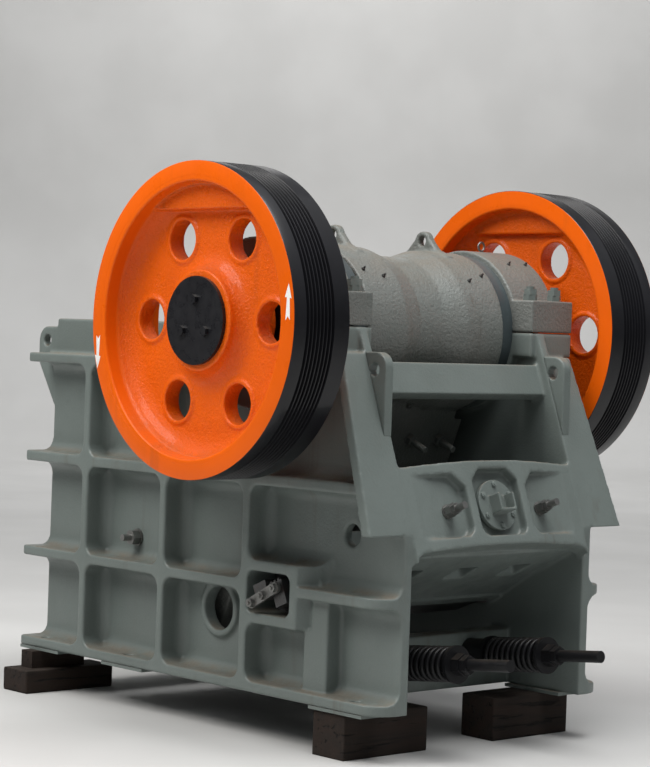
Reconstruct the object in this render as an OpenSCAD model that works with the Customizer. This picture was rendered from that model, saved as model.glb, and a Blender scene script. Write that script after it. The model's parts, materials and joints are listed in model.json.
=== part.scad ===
// Single-toggle jaw crusher with a ribbed cast frame, standing on blocks.
// Inside the modules x runs along the machine from the eccentric shaft, negative towards the
// feed end; y runs along the shaft from the middle plane; z is up from the underside of the
// frame. The whole machine is then set on its blocks, over the middle of its own floor area.

/* [Flywheels] */
// Diameter over the rim
wheel_d = 1300; // [1100:10:1450]
// Width of the rim
rim_w = 295; // [240:5:340]
// Radial thickness of the rim at its face
rim_t = 84; // [60:2:110]
// Outer face of each rim from the middle plane
wheel_y = 1080; // [1080:5:1180]
// Depth of the dish from the rim face to the web
dish = 118; // [100:2:126]
// Thickness of the web
web_t = 62; // [40:2:80]
// Diameter of each hole through the web
web_hole_d = 166; // [120:2:190]
// Radius of the ring of web holes
web_hole_r = 385; // [370:5:400]
// Number of web holes
web_holes = 6; // [4:1:8]
// Diameter of the hub boss
hub_d = 416; // [380:2:460]
// Depth of the hub face behind the rim face
hub_in = 48; // [32:2:60]
// Depth of the steep step inside the rim
step_in = 60; // [40:2:80]
// Radius where the dish's cone meets the flat web
cone_r = 490; // [480:2:510]
// Reach of the cove between hub and web
cove = 92; // [40:2:92]
// Depth of the counterweight face behind the rim face
weight_in = 74; // [64:2:90]
// Height of the counterweight chord above the shaft
chord_h = 455; // [430:5:480]
// Pitch of the belt grooves
groove_pitch = 19; // [16:0.5:22]
// Number of belt grooves
grooves = 8; // [5:1:9]
// Depth of the belt grooves
groove_depth = 14; // [8:1:18]

/* [Shaft] */
// Height of the shaft above the underside of the frame
shaft_h = 1550; // [1500:10:1600]
// Offset of the eccentric journal
throw = 12; // [8:1:16]
// Diameter of the eccentric journal
ecc_d = 300; // [280:5:330]
// Diameter of the frame bearing journals
journal_d = 240; // [220:5:260]
// Diameter of the round end disc
disc_d = 364; // [320:4:372]
// Thickness of the end disc
disc_t = 16; // [12:2:30]

/* [Bearings] */
// Outer radius of the frame bearing housing
drum_r = 360; // [345:5:380]
// Radius of the bore that holds the frame bearing
seat_r = 235; // [210:5:260]
// Inner face of the housing from the middle plane
drum_y0 = 478; // [474:2:490]
// Outer face of the housing from the middle plane
drum_y1 = 740; // [725:5:750]
// Half length of the housing over its bolting ears
ear_x = 453; // [440:5:480]
// Height of the upper bolting ears
ear_up = 141; // [120:1:160]
// Height of the lower bolting ears
ear_low = 106; // [90:2:130]
// Distance from the end of an ear to its bolts
ear_bolt_in = 62; // [50:2:70]

/* [Frame] */
// Length of the side casting from the shaft to the feed end of its flanges
feed_x = 1690; // [1640:10:1760]
// Distance from the feed end of the flanges back to the end of the side plate
flange_over = 33; // [20:1:60]
// Length of the side casting from the shaft to its rear face
rear_x = 768; // [740:4:800]
// Inner face of each side plate from the middle plane
wall_y = 511; // [508:1:530]
// Thickness of each side plate
wall_t = 45; // [35:1:50]
// Outer edge of the flanges from the middle plane
flange_y = 681; // [650:1:720]
// Thickness of the base flange
base_t = 46; // [40:1:60]
// Underside of the lower shelf flange
shelf1_z = 425; // [415:1:440]
// Thickness of the lower shelf flange
shelf1_t = 46; // [35:1:55]
// Underside of the middle shelf flange
shelf2_z = 872; // [860:1:890]
// Thickness of the middle shelf flange
shelf2_t = 49; // [35:1:60]
// Underside of the top flange
top_z = 1338; // [1320:1:1350]
// Thickness of the top flange
top_t = 44; // [35:1:60]
// Thickness of the vertical ribs
rib_t = 44; // [35:1:55]
// Distance of the first rib from the shaft
rib_a = 1219; // [1190:1:1250]
// Distance of the second rib from the shaft
rib_b = 641; // [610:1:670]
// Distance of the third rib from the shaft
rib_c = 74; // [60:1:90]
// Corner radius of the pockets between ribs
pocket_r = 55; // [30:1:70]
// Radius of the cast fillets at the roots of the pockets
root_r = 52; // [20:1:60]
// Length of the window for the toggle beam
window_l = 271; // [260:1:280]
// Height of the window
window_h = 175; // [168:1:180]
// Width of the frame round the window
frame_w = 46; // [36:1:50]
// How far the side of the window frame flares towards the side plate
flare = 47; // [20:1:60]
// Plan radius of the flange corner at the rear
sweep_r = 115; // [80:1:120]
// Diameter of the foundation bolt holes
foot_hole_d = 44; // [30:1:60]
// Distance of the foundation bolt holes from the outer edge of the flange
foot_hole_in = 48; // [40:1:60]

/* [Rear legs and wall] */
// Lean of the rear legs and rear wall from vertical
leg_lean = 20.5; // [19:0.5:22]
// Height of the feet of the legs
leg_foot_z = 720; // [710:2:740]
// Thickness of the leg plates
leg_t = 48; // [40:1:60]
// Outer edge of each leg plate from the middle plane
leg_y = 750; // [735:1:770]
// How much narrower each leg plate is at its top
leg_taper = 65; // [20:5:80]
// Height of the rear wall panel along its slope
panel_h = 361; // [345:2:367]
// Thickness of the rear wall panel
panel_t = 80; // [60:2:90]
// Depth of the pockets behind the ends of the panel
panel_dip = 15; // [5:1:25]
// How far the middle of the panel stands out
panel_bulge = 30; // [10:1:40]
// Rise of the middle of the panel's upper and lower edges
panel_rise = 17; // [5:1:30]
// Distance of the panel's ribs from the middle plane
panel_rib_y = 156; // [145:1:170]
// Width of the panel's ribs
panel_rib_w = 45; // [30:1:55]
// Height of the top edge of the rear wall panel
panel_top_z = 987; // [975:1:1000]
// Thickness of the rear lifting lugs
lug_t = 45; // [35:1:60]
// Diameter of the lifting lug holes
lug_hole_d = 56; // [40:1:70]

/* [Jaws] */
// Lean of the swing jaw from vertical
jaw_lean = 22.7; // [21:0.1:24]
// Length of the swing jaw along its face
jaw_l = 1400; // [1350:5:1440]
// Half width of the jaws
jaw_y = 462; // [440:1:470]
// Radius of the jaw's bearing tube
tube_r = 353; // [345:1:358]
// Depth of the waist round the middle of the tube
waist = 29; // [10:1:32]
// Distance from the jaw's face to its back under the tube
jaw_back = 612; // [560:2:620]
// Half length of the jaw's bearing tube
tube_y = 404; // [390:1:410]
// Radius of the bores in the tube for the jaw bearings
tube_bore_r = 262; // [240:2:280]
// Thickness of the jaw plates over their ridges
plate_t = 110; // [90:2:130]
// Height of the ridges on the jaw plates
ridge_h = 42; // [30:1:50]
// Number of ridges on each jaw plate
ridges = 9; // [7:1:12]
// Opening between the jaws at the discharge
discharge = 105; // [90:1:130]
// Thickness of the cheek plates
cheek_t = 30; // [20:1:34]

/* [Toggle] */
// Lean of the toggle from level
toggle_lean = 23.5; // [22:0.5:25]
// Thickness of the toggle plate
toggle_t = 46; // [30:1:60]
// Half width of the toggle plate
toggle_y = 330; // [300:5:380]
// Thickness of the toggle beam
beam_t = 100; // [80:2:120]
// Number of adjusting shims
shims = 6; // [3:1:6]
// Thickness of each shim
shim_t = 12; // [8:1:12]
// How far the ends of the beam and shims stand out past the flanges
tongue_out = 2; // [1:1:20]

/* [Tension rods] */
// Distance of each tension rod from the middle plane
rod_y = 270; // [240:2:300]
// Diameter of the rods
rod_d = 50; // [40:1:60]
// Rise of the rods from level
rod_lean = 6; // [5:0.5:7]
// Outer diameter of the springs
spring_d = 150; // [130:2:160]
// Diameter of the spring wire
wire_d = 22; // [16:1:24]
// Number of spring turns
spring_turns = 9; // [7:1:10]
// Length of each spring
spring_l = 300; // [280:5:320]

/* [Stand] */
// Height of the blocks under the frame
stand_h = 200; // [180:5:260]
// Thickness of the pads under the base flange
pad_t = 14; // [8:1:20]
// Height of the upper blocks at the feed end
upper_block_h = 80; // [60:2:100]
// Clearance between pieces that seat face to face
fit = 0.3; // [0.1:0.1:0.5]

/* [Hidden] */
$fn = 64;
grey = [0.45, 0.48, 0.46];
light_grey = [0.56, 0.56, 0.55];
orange = [0.9, 0.38, 0.03];
black = [0.1, 0.1, 0.11];
steel = [0.35, 0.35, 0.36];
timber = [0.2, 0.15, 0.12];
manganese = [0.3, 0.3, 0.31];
wheel_r = wheel_d / 2;
dish_r = wheel_r - rim_t;
disc_r = disc_d / 2;
web_y1 = wheel_y - dish;
web_y0 = web_y1 - web_t;
flange_d = flange_y - wall_y - wall_t;
wall_out = wall_y + wall_t;
plate_x0 = -feed_x + flange_over;
upper_z = shaft_h - 4;
lean_t = tan(leg_lean);
leg_dx = leg_t / cos(leg_lean);
leg_top_z = shaft_h - ear_low;
jaw_x = -ear_x - 7;
jaw_z = shaft_h - 80;
ecc_z = shaft_h - throw;
fixed_face_x = jaw_pt(jaw_l - 40, -plate_t)[0] - discharge;
front_wall_t = 90;
front_wall_x = fixed_face_x - plate_t - front_wall_t;
seat_s = 1175;
seat_front = jaw_pt(seat_s, 468);
seat_face = 10;
toggle_l = 500;
toggle_nose = seat_face + throw * (1 + sin(toggle_lean)) + 5.2;
toggle_end = [seat_front[0] + toggle_l * cos(toggle_lean), seat_front[1] + toggle_l * sin(toggle_lean)];
rod_end_x = 1099;
rod_end_z = 224;
rod_pin_x = jaw_pt(jaw_l, 325)[0];
rod_pin = [rod_pin_x, rod_end_z - (rod_end_x - rod_pin_x) * tan(rod_lean)];
rod_l = (rod_end_x - rod_pin_x - rod_d / 2 * sin(rod_lean)) / cos(rod_lean);
spring_beam_x = 250;
spring_beam_t = 100;
spring_beam_h = rod_end_z + 16;
front_lug_x = -feed_x - flange_over;
front_lug_z = top_z + 103;
front_lug_r = 66;
machine_x0 = front_lug_x - front_lug_r;
hub_face_t = rim_w - hub_in;
centre_x = (machine_x0 + rod_end_x) / 2;

// A point on the swing jaw: s down its face from the top, t behind the face
function jaw_pt(s, t) = [jaw_x - s * sin(jaw_lean) + t * cos(jaw_lean),
    jaw_z - s * cos(jaw_lean) - t * sin(jaw_lean)];

// The outer line of the rear legs at height z
function leg_x(z) = rear_x - (z - leg_foot_z) * lean_t;

// Sets the machine on its blocks over the middle of its floor area
module place() { translate([-centre_x, 0, stand_h]) children(); }

// Turns a profile drawn in x and z into a slab from y0 to y1
module slab(y0, y1) {
    translate([0, y1, 0]) rotate([90, 0, 0]) linear_extrude(y1 - y0) children();
}

// Turns a shape made round z into one round the shaft's direction, from y = 0 towards +y
module along_y(y) { translate([0, y, 0]) rotate([-90, 0, 0]) children(); }

// A rectangle from corner to corner with round corners
module pocket(x0, z0, x1, z1, r) {
    translate([x0 + r, z0]) square([x1 - x0 - 2 * r, z1 - z0]);
    translate([x0, z0 + r]) square([x1 - x0, z1 - z0 - 2 * r]);
    for (x = [x0 + r, x1 - r], z = [z0 + r, z1 - r]) translate([x, z]) circle(r);
}

// The two sides of the machine, left towards -y and right towards +y
module right() { children(); }
module left() { mirror([0, 1, 0]) children(); }
module both() { right() children(); left() children(); }

// A hexagonal nut or bolt head standing on z = 0
module hex(across, h) { cylinder(d = across / cos(30), h = h, $fn = 6); }

// Frame side castings

module side_outline() {
    polygon([[plate_x0, 0], [rear_x, 0], [rear_x, leg_foot_z],
        [leg_x(leg_top_z), leg_top_z], [ear_x, shaft_h - 2], [-ear_x, shaft_h - 2],
        [-ear_x, upper_z], [plate_x0 + 18, upper_z], [plate_x0 + 9, top_z + top_t]]);
}

module flange_outline() {
    polygon([[-feed_x, 0], [rear_x, 0], [rear_x, leg_foot_z], [leg_x(top_z), top_z],
        [leg_x(top_z + top_t), top_z + top_t], [-feed_x, top_z + top_t]]);
}

window_x0 = -rib_c + rib_t / 2;
window_x1 = window_x0 + window_l;
window_z1 = shelf1_z + 87;
window_z0 = window_z1 - window_h;
window_out = window_x1 + frame_w;
ledge_z = window_z1 + frame_w;
tunnel_x = window_out + flare;

// Profile of a pocket from a to b, open away from the side plate, with roots in four facets
module roots(a, b) {
    polygon(concat([[b, flange_d + 2], [a, flange_d + 2]],
        [for (t = [0:22.5:90]) [a + root_r * (1 - cos(t)), root_r * (1 - sin(t))]],
        [[a + root_r, -3], [b - root_r, -3]],
        [for (t = [90:-22.5:0]) [b - root_r * (1 - cos(t)), root_r * (1 - sin(t))]]));
}

// Space of a pocket from corner to corner, cut down to the side plate
module pocket_space(x0, z0, x1, z1) {
    intersection() {
        slab(wall_out - 2, flange_y + 2) pocket(x0, z0, x1, z1, pocket_r);
        translate([0, wall_out, z0]) linear_extrude(z1 - z0) roots(x0, x1);
        translate([x0, wall_out, 0]) rotate([90, 0, 90]) linear_extrude(x1 - x0)
            mirror([1, -1]) roots(z0, z1);
    }
}

// Clears the flared side of the window frame between two heights
module flare_space(z0, z1) {
    translate([0, 0, z0]) linear_extrude(z1 - z0) polygon([[window_out, flange_y + 2],
        [tunnel_x + root_r, flange_y + 2], [tunnel_x + root_r, wall_out + root_r],
        [tunnel_x, wall_out + root_r * 0.7], [window_out, flange_y - 6]]);
}

// The pockets between the flanges and ribs
module side_pockets() {
    h = rib_t / 2;
    far = feed_x + 200;
    end = rear_x + 200;
    s1 = shelf1_z + shelf1_t;
    s2 = shelf2_z + shelf2_t;
    for (row = [[base_t, shelf1_z], [s1, shelf2_z], [s2, top_z]]) {
        pocket_space(-far, row[0], -rib_a - h, row[1]);
        pocket_space(-rib_a + h, row[0], -rib_b - h, row[1]);
        translate([-far, wall_out - 2, row[0]])
            cube([far + plate_x0, flange_d + 4, row[1] - row[0]]);
    }
    for (row = [[base_t, shelf1_z], [s1, shelf2_z]])
        pocket_space(-rib_b + h, row[0], -rib_c - h, row[1]);
    pocket_space(-rib_b + h, s2, -rib_c + 1000, top_z);
    pocket_space(-rib_c + h, base_t, end, window_z0 - frame_w);
    pocket_space(-rib_c + h, ledge_z, end, shelf2_z);
    pocket_space(tunnel_x, base_t, end, shelf1_z);
    pocket_space(tunnel_x, s1, end, shelf2_z);
    flare_space(window_z0 - frame_w - 40, shelf1_z);
    flare_space(s1, ledge_z + 40);
}

module side_holes() {
    pocket(window_x0, window_z0, window_x1, window_z1, 35);
    translate([-356, 311]) circle(d = 190);
    translate([459, 697]) circle(d = 92);
}

module leg_profile() {
    polygon([[rear_x - leg_dx, leg_foot_z], [rear_x, leg_foot_z],
        [leg_x(leg_top_z), leg_top_z], [leg_x(leg_top_z) - leg_dx, leg_top_z]]);
}

module housing_lower() {
    difference() {
        union() {
            intersection() {
                translate([0, shaft_h]) circle(drum_r, $fn = 96);
                translate([-drum_r, shaft_h - drum_r - 1]) square([2 * drum_r, drum_r - 1]);
            }
            translate([-ear_x, shaft_h - ear_low]) square([2 * ear_x, ear_low - 2]);
        }
        translate([0, shaft_h]) circle(seat_r, $fn = 96);
    }
}

// Strut under the lower shelf beside the window, narrower at its top
module strut() {
    for (b = [[window_out + 3, base_t - 1, 300], [tunnel_x - 2, 299, shelf1_z + 1]])
        translate([b[0], wall_out - 1, b[1]])
            cube([window_out + 148 - b[0], flange_d - 45, b[2] - b[1]]);
}

// Limits the leg plates to their tapered outer edges
module leg_taper_space() {
    rotate([90, 0, 90]) linear_extrude(rear_x + 1) polygon([[0, leg_foot_z - 1],
        [leg_y, leg_foot_z - 1], [leg_y - leg_taper, leg_top_z + 1], [0, leg_top_z + 1]]);
}

module side_casting() {
    difference() {
        union() {
            slab(wall_y, wall_out) side_outline();
            intersection() {
                difference() {
                    slab(wall_out - 1, flange_y) flange_outline();
                    side_pockets();
                }
                union() {
                    translate([-feed_x, wall_y, -1])
                        cube([feed_x + rear_x - sweep_r, flange_d + wall_t, shaft_h]);
                    translate([-feed_x, wall_y, -1])
                        cube([feed_x + rear_x, flange_y - wall_y - sweep_r, shaft_h]);
                    translate([rear_x - sweep_r, flange_y - sweep_r, -1])
                        cylinder(r = sweep_r, h = shaft_h);
                }
            }
            strut();
            intersection() {
                slab(wall_y, leg_y) leg_profile();
                leg_taper_space();
            }
            slab(wall_out - 1, wall_out + 22) translate([-356, 311]) circle(d = 250);
        }
        slab(wall_y - 1, flange_y + 1) side_holes();
        for (x = foot_holes) translate([x, flange_y - foot_hole_in, -1])
            cylinder(d = foot_hole_d, h = base_t + root_r);
        along_y(wall_y - 1) translate([0, -shaft_h, 0]) cylinder(r = drum_r - 1, h = 300, $fn = 96);
    }
    slab(drum_y0, drum_y1) housing_lower();
}

foot_holes = [-feed_x + 146, -902, 601];

module frame_side_left() { color(grey) place() left() side_casting(); }
module frame_side_right() { color(grey) place() right() side_casting(); }

// Front wall with its ribs, between the side plates

module front_wall() {
    y = wall_y - fit;
    color(grey) place() {
        translate([front_wall_x, -y, 0]) cube([front_wall_t, 2 * y, top_z + top_t]);
        for (b = [[0, base_t], [shelf1_z, shelf1_t], [shelf2_z, shelf2_t], [top_z, top_t]])
            translate([-feed_x, -y, b[0]]) cube([feed_x + front_wall_x + 1, 2 * y, b[1]]);
        for (k = [-1, 0, 1]) translate([-feed_x + 60, k * 255 - rib_t / 2, 0])
            cube([feed_x + front_wall_x - 59, rib_t, top_z]);
        translate([front_wall_x + front_wall_t - 1, -y, 60])
            cube([plate_t * 0.6, 2 * y, 80]);
    }
}

// Rear wall panel with three pockets

// Height of the panel's curved face above the plane of its ends
function panel_face(y) = panel_bulge
    * pow(cos(90 * max(0, abs(y) - 120) / (wall_y - fit - 120)), 2);

// Rise of the panel's edges at y
function panel_edge(y) = panel_rise * (1 - pow(y / (wall_y - fit), 2));

// The panel's outline seen along its normal, with round lower corners
module panel_outline() {
    w = wall_y - fit;
    ys = [for (i = [-10:10]) i * w / 10];
    polygon(concat([for (y = ys) [y, panel_edge(y)]],
        [[w, -panel_h - panel_corner], [w - panel_corner * 0.3, -panel_h - panel_corner * 0.3]],
        [for (i = [19:-1:1]) [ys[i], -panel_h + panel_edge(ys[i])]],
        [[-w + panel_corner * 0.3, -panel_h - panel_corner * 0.3], [-w, -panel_h - panel_corner]]));
}

module panel_side_pocket() {
    y0 = panel_rib_y + panel_rib_w / 2;
    y1 = wall_y - 62;
    top = -36;
    low = -panel_h + 58;
    reach = panel_bulge + 2;
    intersection() {
        rotate([90, 0, 90]) translate([0, 0, -panel_dip - 1])
            linear_extrude(reach + panel_dip + 2) {
                polygon([[y0, low + 50], [y0 + 50, low], [y1, low], [y1, top], [y0 + 60, top],
                    [y0, top - 60]]);
                translate([y0 + 50, low + 50]) circle(50);
            }
        translate([0, 0, -panel_h]) linear_extrude(panel_h)
            polygon([[-panel_dip, y0], [-panel_dip, y0 + 132], [0, y1], [reach, y1], [reach, y0]]);
    }
}

module panel_middle_pocket() {
    y = panel_rib_y - panel_rib_w / 2;
    top = -20;
    low = -panel_h + 56;
    r = 45;
    rotate([90, 0, 90]) translate([0, 0, -panel_dip])
        linear_extrude(panel_bulge + panel_dip + 2) {
            polygon([[-y, low + r], [-y + r, low], [y - r, low], [y, low + r], [y, top - 50],
                [y - 50, top], [-y + 50, top], [-y, top - 50]]);
            for (u = [-y + r, y - r]) translate([u, low + r]) circle(r);
        }
}

module rear_wall() {
    w = wall_y - fit;
    color(grey) place() on_panel() difference() {
        intersection() {
            translate([0, 0, -panel_h - panel_corner]) linear_extrude(panel_h + 2 * panel_corner)
                polygon(concat([[-panel_t, w], [-panel_t, -w]],
                    [for (i = [-20:20]) [panel_face(i * w / 20), i * w / 20]]));
            translate([-panel_t - 1, 0, 0]) rotate([90, 0, 90])
                linear_extrude(panel_t + panel_bulge + 2) panel_outline();
        }
        for (m = [0, 1]) mirror([0, m, 0]) panel_side_pocket();
        panel_middle_pocket();
    }
}

panel_corner = 45;

// Cross member that the shims bear on, with ribs up to the rear wall

module on_toggle() {
    translate([seat_front[0], 0, seat_front[1]]) rotate([0, -toggle_lean, 0]) children();
}

abut_x = toggle_l + 30 + beam_t + shims * shim_t;

module toggle_abutment() {
    y = wall_y - fit;
    color(grey) place() on_toggle() {
        translate([abut_x, -y, -abut_low]) cube([abut_t, 2 * y, abut_low + abut_up]);
    }
    color(grey) place() difference() {
        slab(-y + 0.5, y - 0.5) polygon([abut_root, [rear_x - 8, slope_end_z], [rear_x - 36, slope_end_z + 46],
            abut_root + [-34, 40]]);
        for (k = [-1, 0, 1]) translate([abut_root[0], k * 325, abut_root[1]])
            rotate([0, -slope_a, 0]) translate([230, -56, -200]) cube([118, 112, 400]);
        on_panel() translate([-panel_t - fit, -y - 1, -panel_h - panel_corner - 2])
            cube([panel_t + 100, 2 * y + 2, panel_h + panel_corner + 30]);
    }
}

abut_low = 150;
abut_up = 180;
abut_t = 80;
root_in = abut_x + abut_t - 7;
root_up = abut_low - 12;
abut_root = [seat_front[0] + root_in * cos(toggle_lean) + root_up * sin(toggle_lean),
    seat_front[1] + root_in * sin(toggle_lean) - root_up * cos(toggle_lean)];
slope_end_z = panel_top_z - panel_h * cos(leg_lean) - 4;
slope_a = atan((slope_end_z - abut_root[1]) / (rear_x - abut_root[0]));

// Distance along a rod from its pin to the beam
beam_s = (spring_beam_x - rod_pin[0]) / cos(rod_lean);

module spring_beam() {
    y = wall_y - fit;
    color(grey) place() difference() {
        translate([spring_beam_x, -y, 0]) cube([spring_beam_t, 2 * y, spring_beam_h]);
        for (s = [-1, 1]) on_rod(s) translate([-throw, 0, beam_s - rod_d])
            cylinder(d = rod_d + 50, h = spring_beam_t + 3 * rod_d);
    }
}

// Puts z along a tension rod, from its pin to its end, on side s
module on_rod(s) {
    translate([rod_pin[0], s * rod_y, rod_pin[1]]) rotate([0, 90 - rod_lean, 0]) children();
}

module rear_cross_bar() {
    y = wall_y - fit;
    color(grey) place() translate([leg_x(cross_bar_z) - cross_bar_in, 0, cross_bar_z])
        rotate([0, -leg_lean, 0]) translate([-cross_bar_t, -y, -cross_bar_h])
            cube([cross_bar_t, 2 * y, cross_bar_h]);
}

cross_bar_z = leg_top_z - 33;
cross_bar_in = 50;
cross_bar_t = 80;
cross_bar_h = 140;

// Rear lifting lugs, on the inner side of the legs

module rear_lug() {
    r = rear_lug_r;
    z = leg_top_z - 57;
    difference() {
        slab(wall_y, wall_y + lug_t) difference() {
            union() {
                translate([rear_lug_x - 2 * r, z - rear_lug_h]) square([2 * r, rear_lug_h]);
                translate([rear_lug_x - 3 * r, z - 2 * r]) square([2 * r, 3 * r]);
                translate([rear_lug_x - r, z]) circle(r);
                translate([rear_lug_x - 2 * r, z]) square([r, r]);
            }
            polygon([[leg_x(leg_foot_z), leg_foot_z], [leg_x(shaft_h), shaft_h], [0, shaft_h],
                [0, leg_foot_z]]);
        }
        slab(wall_y - 1, wall_y + lug_t + 1) translate([rear_hole_x, rear_hole_z])
            circle(d = lug_hole_d);
    }
}

rear_lug_r = 60;
rear_lug_h = 312;
rear_lug_x = leg_x(leg_top_z) + 125;
rear_hole_z = leg_top_z - 68;
rear_hole_x = leg_x(rear_hole_z) + lug_hole_d / 2 + 4;

module rear_lugs() { color(grey) place() both() rear_lug(); }

// Front lifting lugs, ahead of the side plates

module front_lug() {
    difference() {
        slab(wall_y, wall_out - 1 - fit) difference() {
            union() {
                translate([front_lug_x, front_lug_z]) circle(front_lug_r);
                translate([machine_x0, top_z]) square([2 * front_lug_r, front_lug_z - top_z]);
                translate([front_lug_x, top_z]) square([110, front_lug_z + front_lug_r - top_z]);
                polygon([[machine_x0, top_z + 1], [plate_x0 + 60, top_z + 1], [plate_x0 + 60, top_z - 200],
                    [plate_x0, top_z - 200]]);
            }
            side_outline();
        }
        slab(wall_y - 1, wall_out + 1) translate([front_lug_x, front_lug_z]) circle(d = lug_hole_d);
    }
}

module front_lugs() { color(grey) place() both() front_lug(); }

// Bearing caps, bolts, bearings and seal rings

module cap_profile() {
    difference() {
        union() {
            intersection() {
                translate([0, shaft_h]) circle(drum_r, $fn = 96);
                translate([-drum_r, shaft_h + 2]) square([2 * drum_r, drum_r]);
            }
            translate([-ear_x, shaft_h + 2]) square([2 * ear_x, ear_up - 2]);
        }
        translate([0, shaft_h]) circle(seat_r, $fn = 96);
    }
}

module bearing_cap() { slab(drum_y0, drum_y1) cap_profile(); }

module bearing_cap_left() { color(light_grey) place() left() bearing_cap(); }
module bearing_cap_right() { color(light_grey) place() right() bearing_cap(); }

module cap_bolts() {
    for (x = [-ear_x + ear_bolt_in, ear_x - ear_bolt_in], y = [drum_y0 + 50, drum_y0 + 205])
        translate([x, y, shaft_h + ear_up]) {
            hex(55, 26);
            translate([0, 0, 25]) rotate(12) hex(55, 26);
            cylinder(d = 36, h = 62);
        }
}

module cap_nuts() { color(steel) place() both() cap_bolts(); }

module frame_bearing() {
    translate([0, 0, shaft_h]) along_y(drum_y0 + 20) difference() {
        cylinder(r = seat_r - fit, h = drum_y1 - drum_y0 - 40, $fn = 96);
        translate([0, 0, -1]) cylinder(r = journal_d / 2 + fit, h = drum_y1 - drum_y0, $fn = 96);
    }
}

module frame_bearing_left() { color(steel) place() left() frame_bearing(); }
module frame_bearing_right() { color(steel) place() right() frame_bearing(); }

module seal_ring() {
    translate([0, 0, shaft_h]) along_y(tube_y + 8) difference() {
        cylinder(r = tube_r - 14, h = drum_y0 - tube_y - 8 - fit, $fn = 96);
        translate([0, 0, -1]) cylinder(r = seat_r - 40, h = drum_y0, $fn = 96);
    }
}

module seal_ring_left() { color(steel) place() left() seal_ring(); }
module seal_ring_right() { color(steel) place() right() seal_ring(); }

// Crushing plates

// Plan outline of a ridged plate: flat back at x = 0, ridges towards +x
module ridge_outline() {
    p = 2 * jaw_y / ridges;
    b = plate_t - ridge_h;
    polygon(concat([[0, -jaw_y], [b, -jaw_y]],
        [for (i = [0:ridges - 1], q = [[0.2, 0], [0.4, 1], [0.6, 1], [0.8, 0]])
            [b + q[1] * ridge_h, -jaw_y + (i + q[0]) * p]],
        [[b, jaw_y], [0, jaw_y]]));
}

module fixed_jaw_plate() {
    color(manganese) place() translate([fixed_face_x - plate_t + fit, 0, 141])
        linear_extrude(top_z + top_t - 141) ridge_outline();
}

module swing_jaw_plate() {
    color(manganese) place() translate([jaw_x, 0, jaw_z]) rotate([0, jaw_lean, 0])
        translate([-fit, 0, -jaw_l + 40]) mirror([1, 0, 0]) linear_extrude(jaw_l - 110)
            ridge_outline();
}

module cheek_plate() {
    slab(wall_y - cheek_t - fit, wall_y - fit) polygon([
        [fixed_face_x - 40, 150], [fixed_face_x - 40, upper_z - 20],
        [jaw_x - 130, upper_z - 20], jaw_pt(jaw_l - 60, -plate_t - 20)]);
}

module cheek_plate_left() { color(manganese) place() left() cheek_plate(); }
module cheek_plate_right() { color(manganese) place() right() cheek_plate(); }

// Toggle, its beam and shims

module toggle_beam() {
    y = wall_y - 2;
    tongue = flange_y + tongue_out;
    color(steel) place() on_toggle() difference() {
        union() {
            translate([toggle_l, -y, -130]) cube([beam_t + 30 - fit, 2 * y, 280]);
            translate([toggle_l + 35, -tongue, -34]) cube([beam_t - 20, 2 * tongue, 68]);
        }
        translate([toggle_l - 1, -toggle_y - 10, -32]) cube([31, 2 * toggle_y + 20, 64]);
    }
}

module shim_pack() {
    y = wall_y - 4;
    tongue = flange_y - 10;
    color(steel) place() on_toggle() for (i = [0:shims - 1])
        translate([toggle_l + 30 + beam_t + i * shim_t, 0, 0]) {
            translate([0, -y, -110 + (i % 2) * 6]) cube([shim_t - fit, 2 * y, 240]);
            translate([0, -tongue, -94]) cube([shim_t - fit, 2 * tongue, 112 - (i % 2) * 8]);
        }
}

module shim_keeper() {
    translate([toggle_end[0] + 100, flange_y + tongue_out + fit, toggle_end[1] + 14])
        rotate([0, -toggle_lean - 5, 0]) slab(0, 16) {
            translate([-82, -23]) square([164, 46]);
            for (x = [-82, 82]) translate([x, 0]) circle(23);
        }
}

module shim_keepers() { color(light_grey) place() both() shim_keeper(); }

module toggle_plate() {
    r = toggle_t / 2 - 1;
    color(steel) place() on_toggle() slab(-toggle_y, toggle_y) {
        translate([toggle_nose + r, -toggle_t / 2])
            square([toggle_l - toggle_nose - r, toggle_t]);
        translate([toggle_nose + r, 0]) circle(r);
        translate([toggle_l + 30 - fit - r, 0]) circle(r);
        translate([toggle_l - 1, -r]) square([31 - fit - r, 2 * r]);
    }
}

module seat_block(gap) {
    translate([-40 - gap, -toggle_y - 20 - gap, -80 - gap])
        cube([40 + seat_face + gap, 2 * (toggle_y + 20 + gap), 160 + 2 * gap]);
}

module toggle_seat() {
    color(steel) place() on_toggle() difference() {
        seat_block(0);
        translate([2, 0, 0]) rotate([90, 0, 0])
            cylinder(r = toggle_t / 2 + 1, h = 2 * toggle_y + 60, center = true);
    }
}

// Rear wall fittings

module on_panel() {
    translate([leg_x(panel_top_z) - 2, 0, panel_top_z]) rotate([0, -leg_lean, 0]) children();
}

module panel_cover() {
    color(grey) place() on_panel() translate([-panel_dip + fit, 0, -panel_h / 2 + 8])
        rotate([0, 90, 0]) {
            cylinder(r = 92, h = 9);
            translate([0, 0, 8]) cylinder(r = 108, h = 20);
            translate([0, 0, 27]) difference() {
                translate([-38, -46, 0]) cube([76, 92, 62]);
                translate([-39, -36, 10]) cube([67, 72, 60]);
            }
        }
}

module panel_studs() {
    color(light_grey) place() on_panel() for (y = [-275, 275])
        translate([-panel_dip + fit, y, -panel_h / 2 - 8]) rotate([0, 90, 0]) {
            cylinder(d = 62, h = 7);
            hex(50, 42);
            hex(42, 62);
            cylinder(d = 30, h = 108);
        }
}

module side_studs() {
    color(light_grey) place() for (s = [-1, 1]) scale([1, s, 1])
        translate([-965, wall_out + fit, 565]) rotate([-90, 0, 0]) {
            cylinder(d = 78, h = 8);
            hex(60, 46);
            cylinder(d = 30, h = 90);
        }
}

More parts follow.
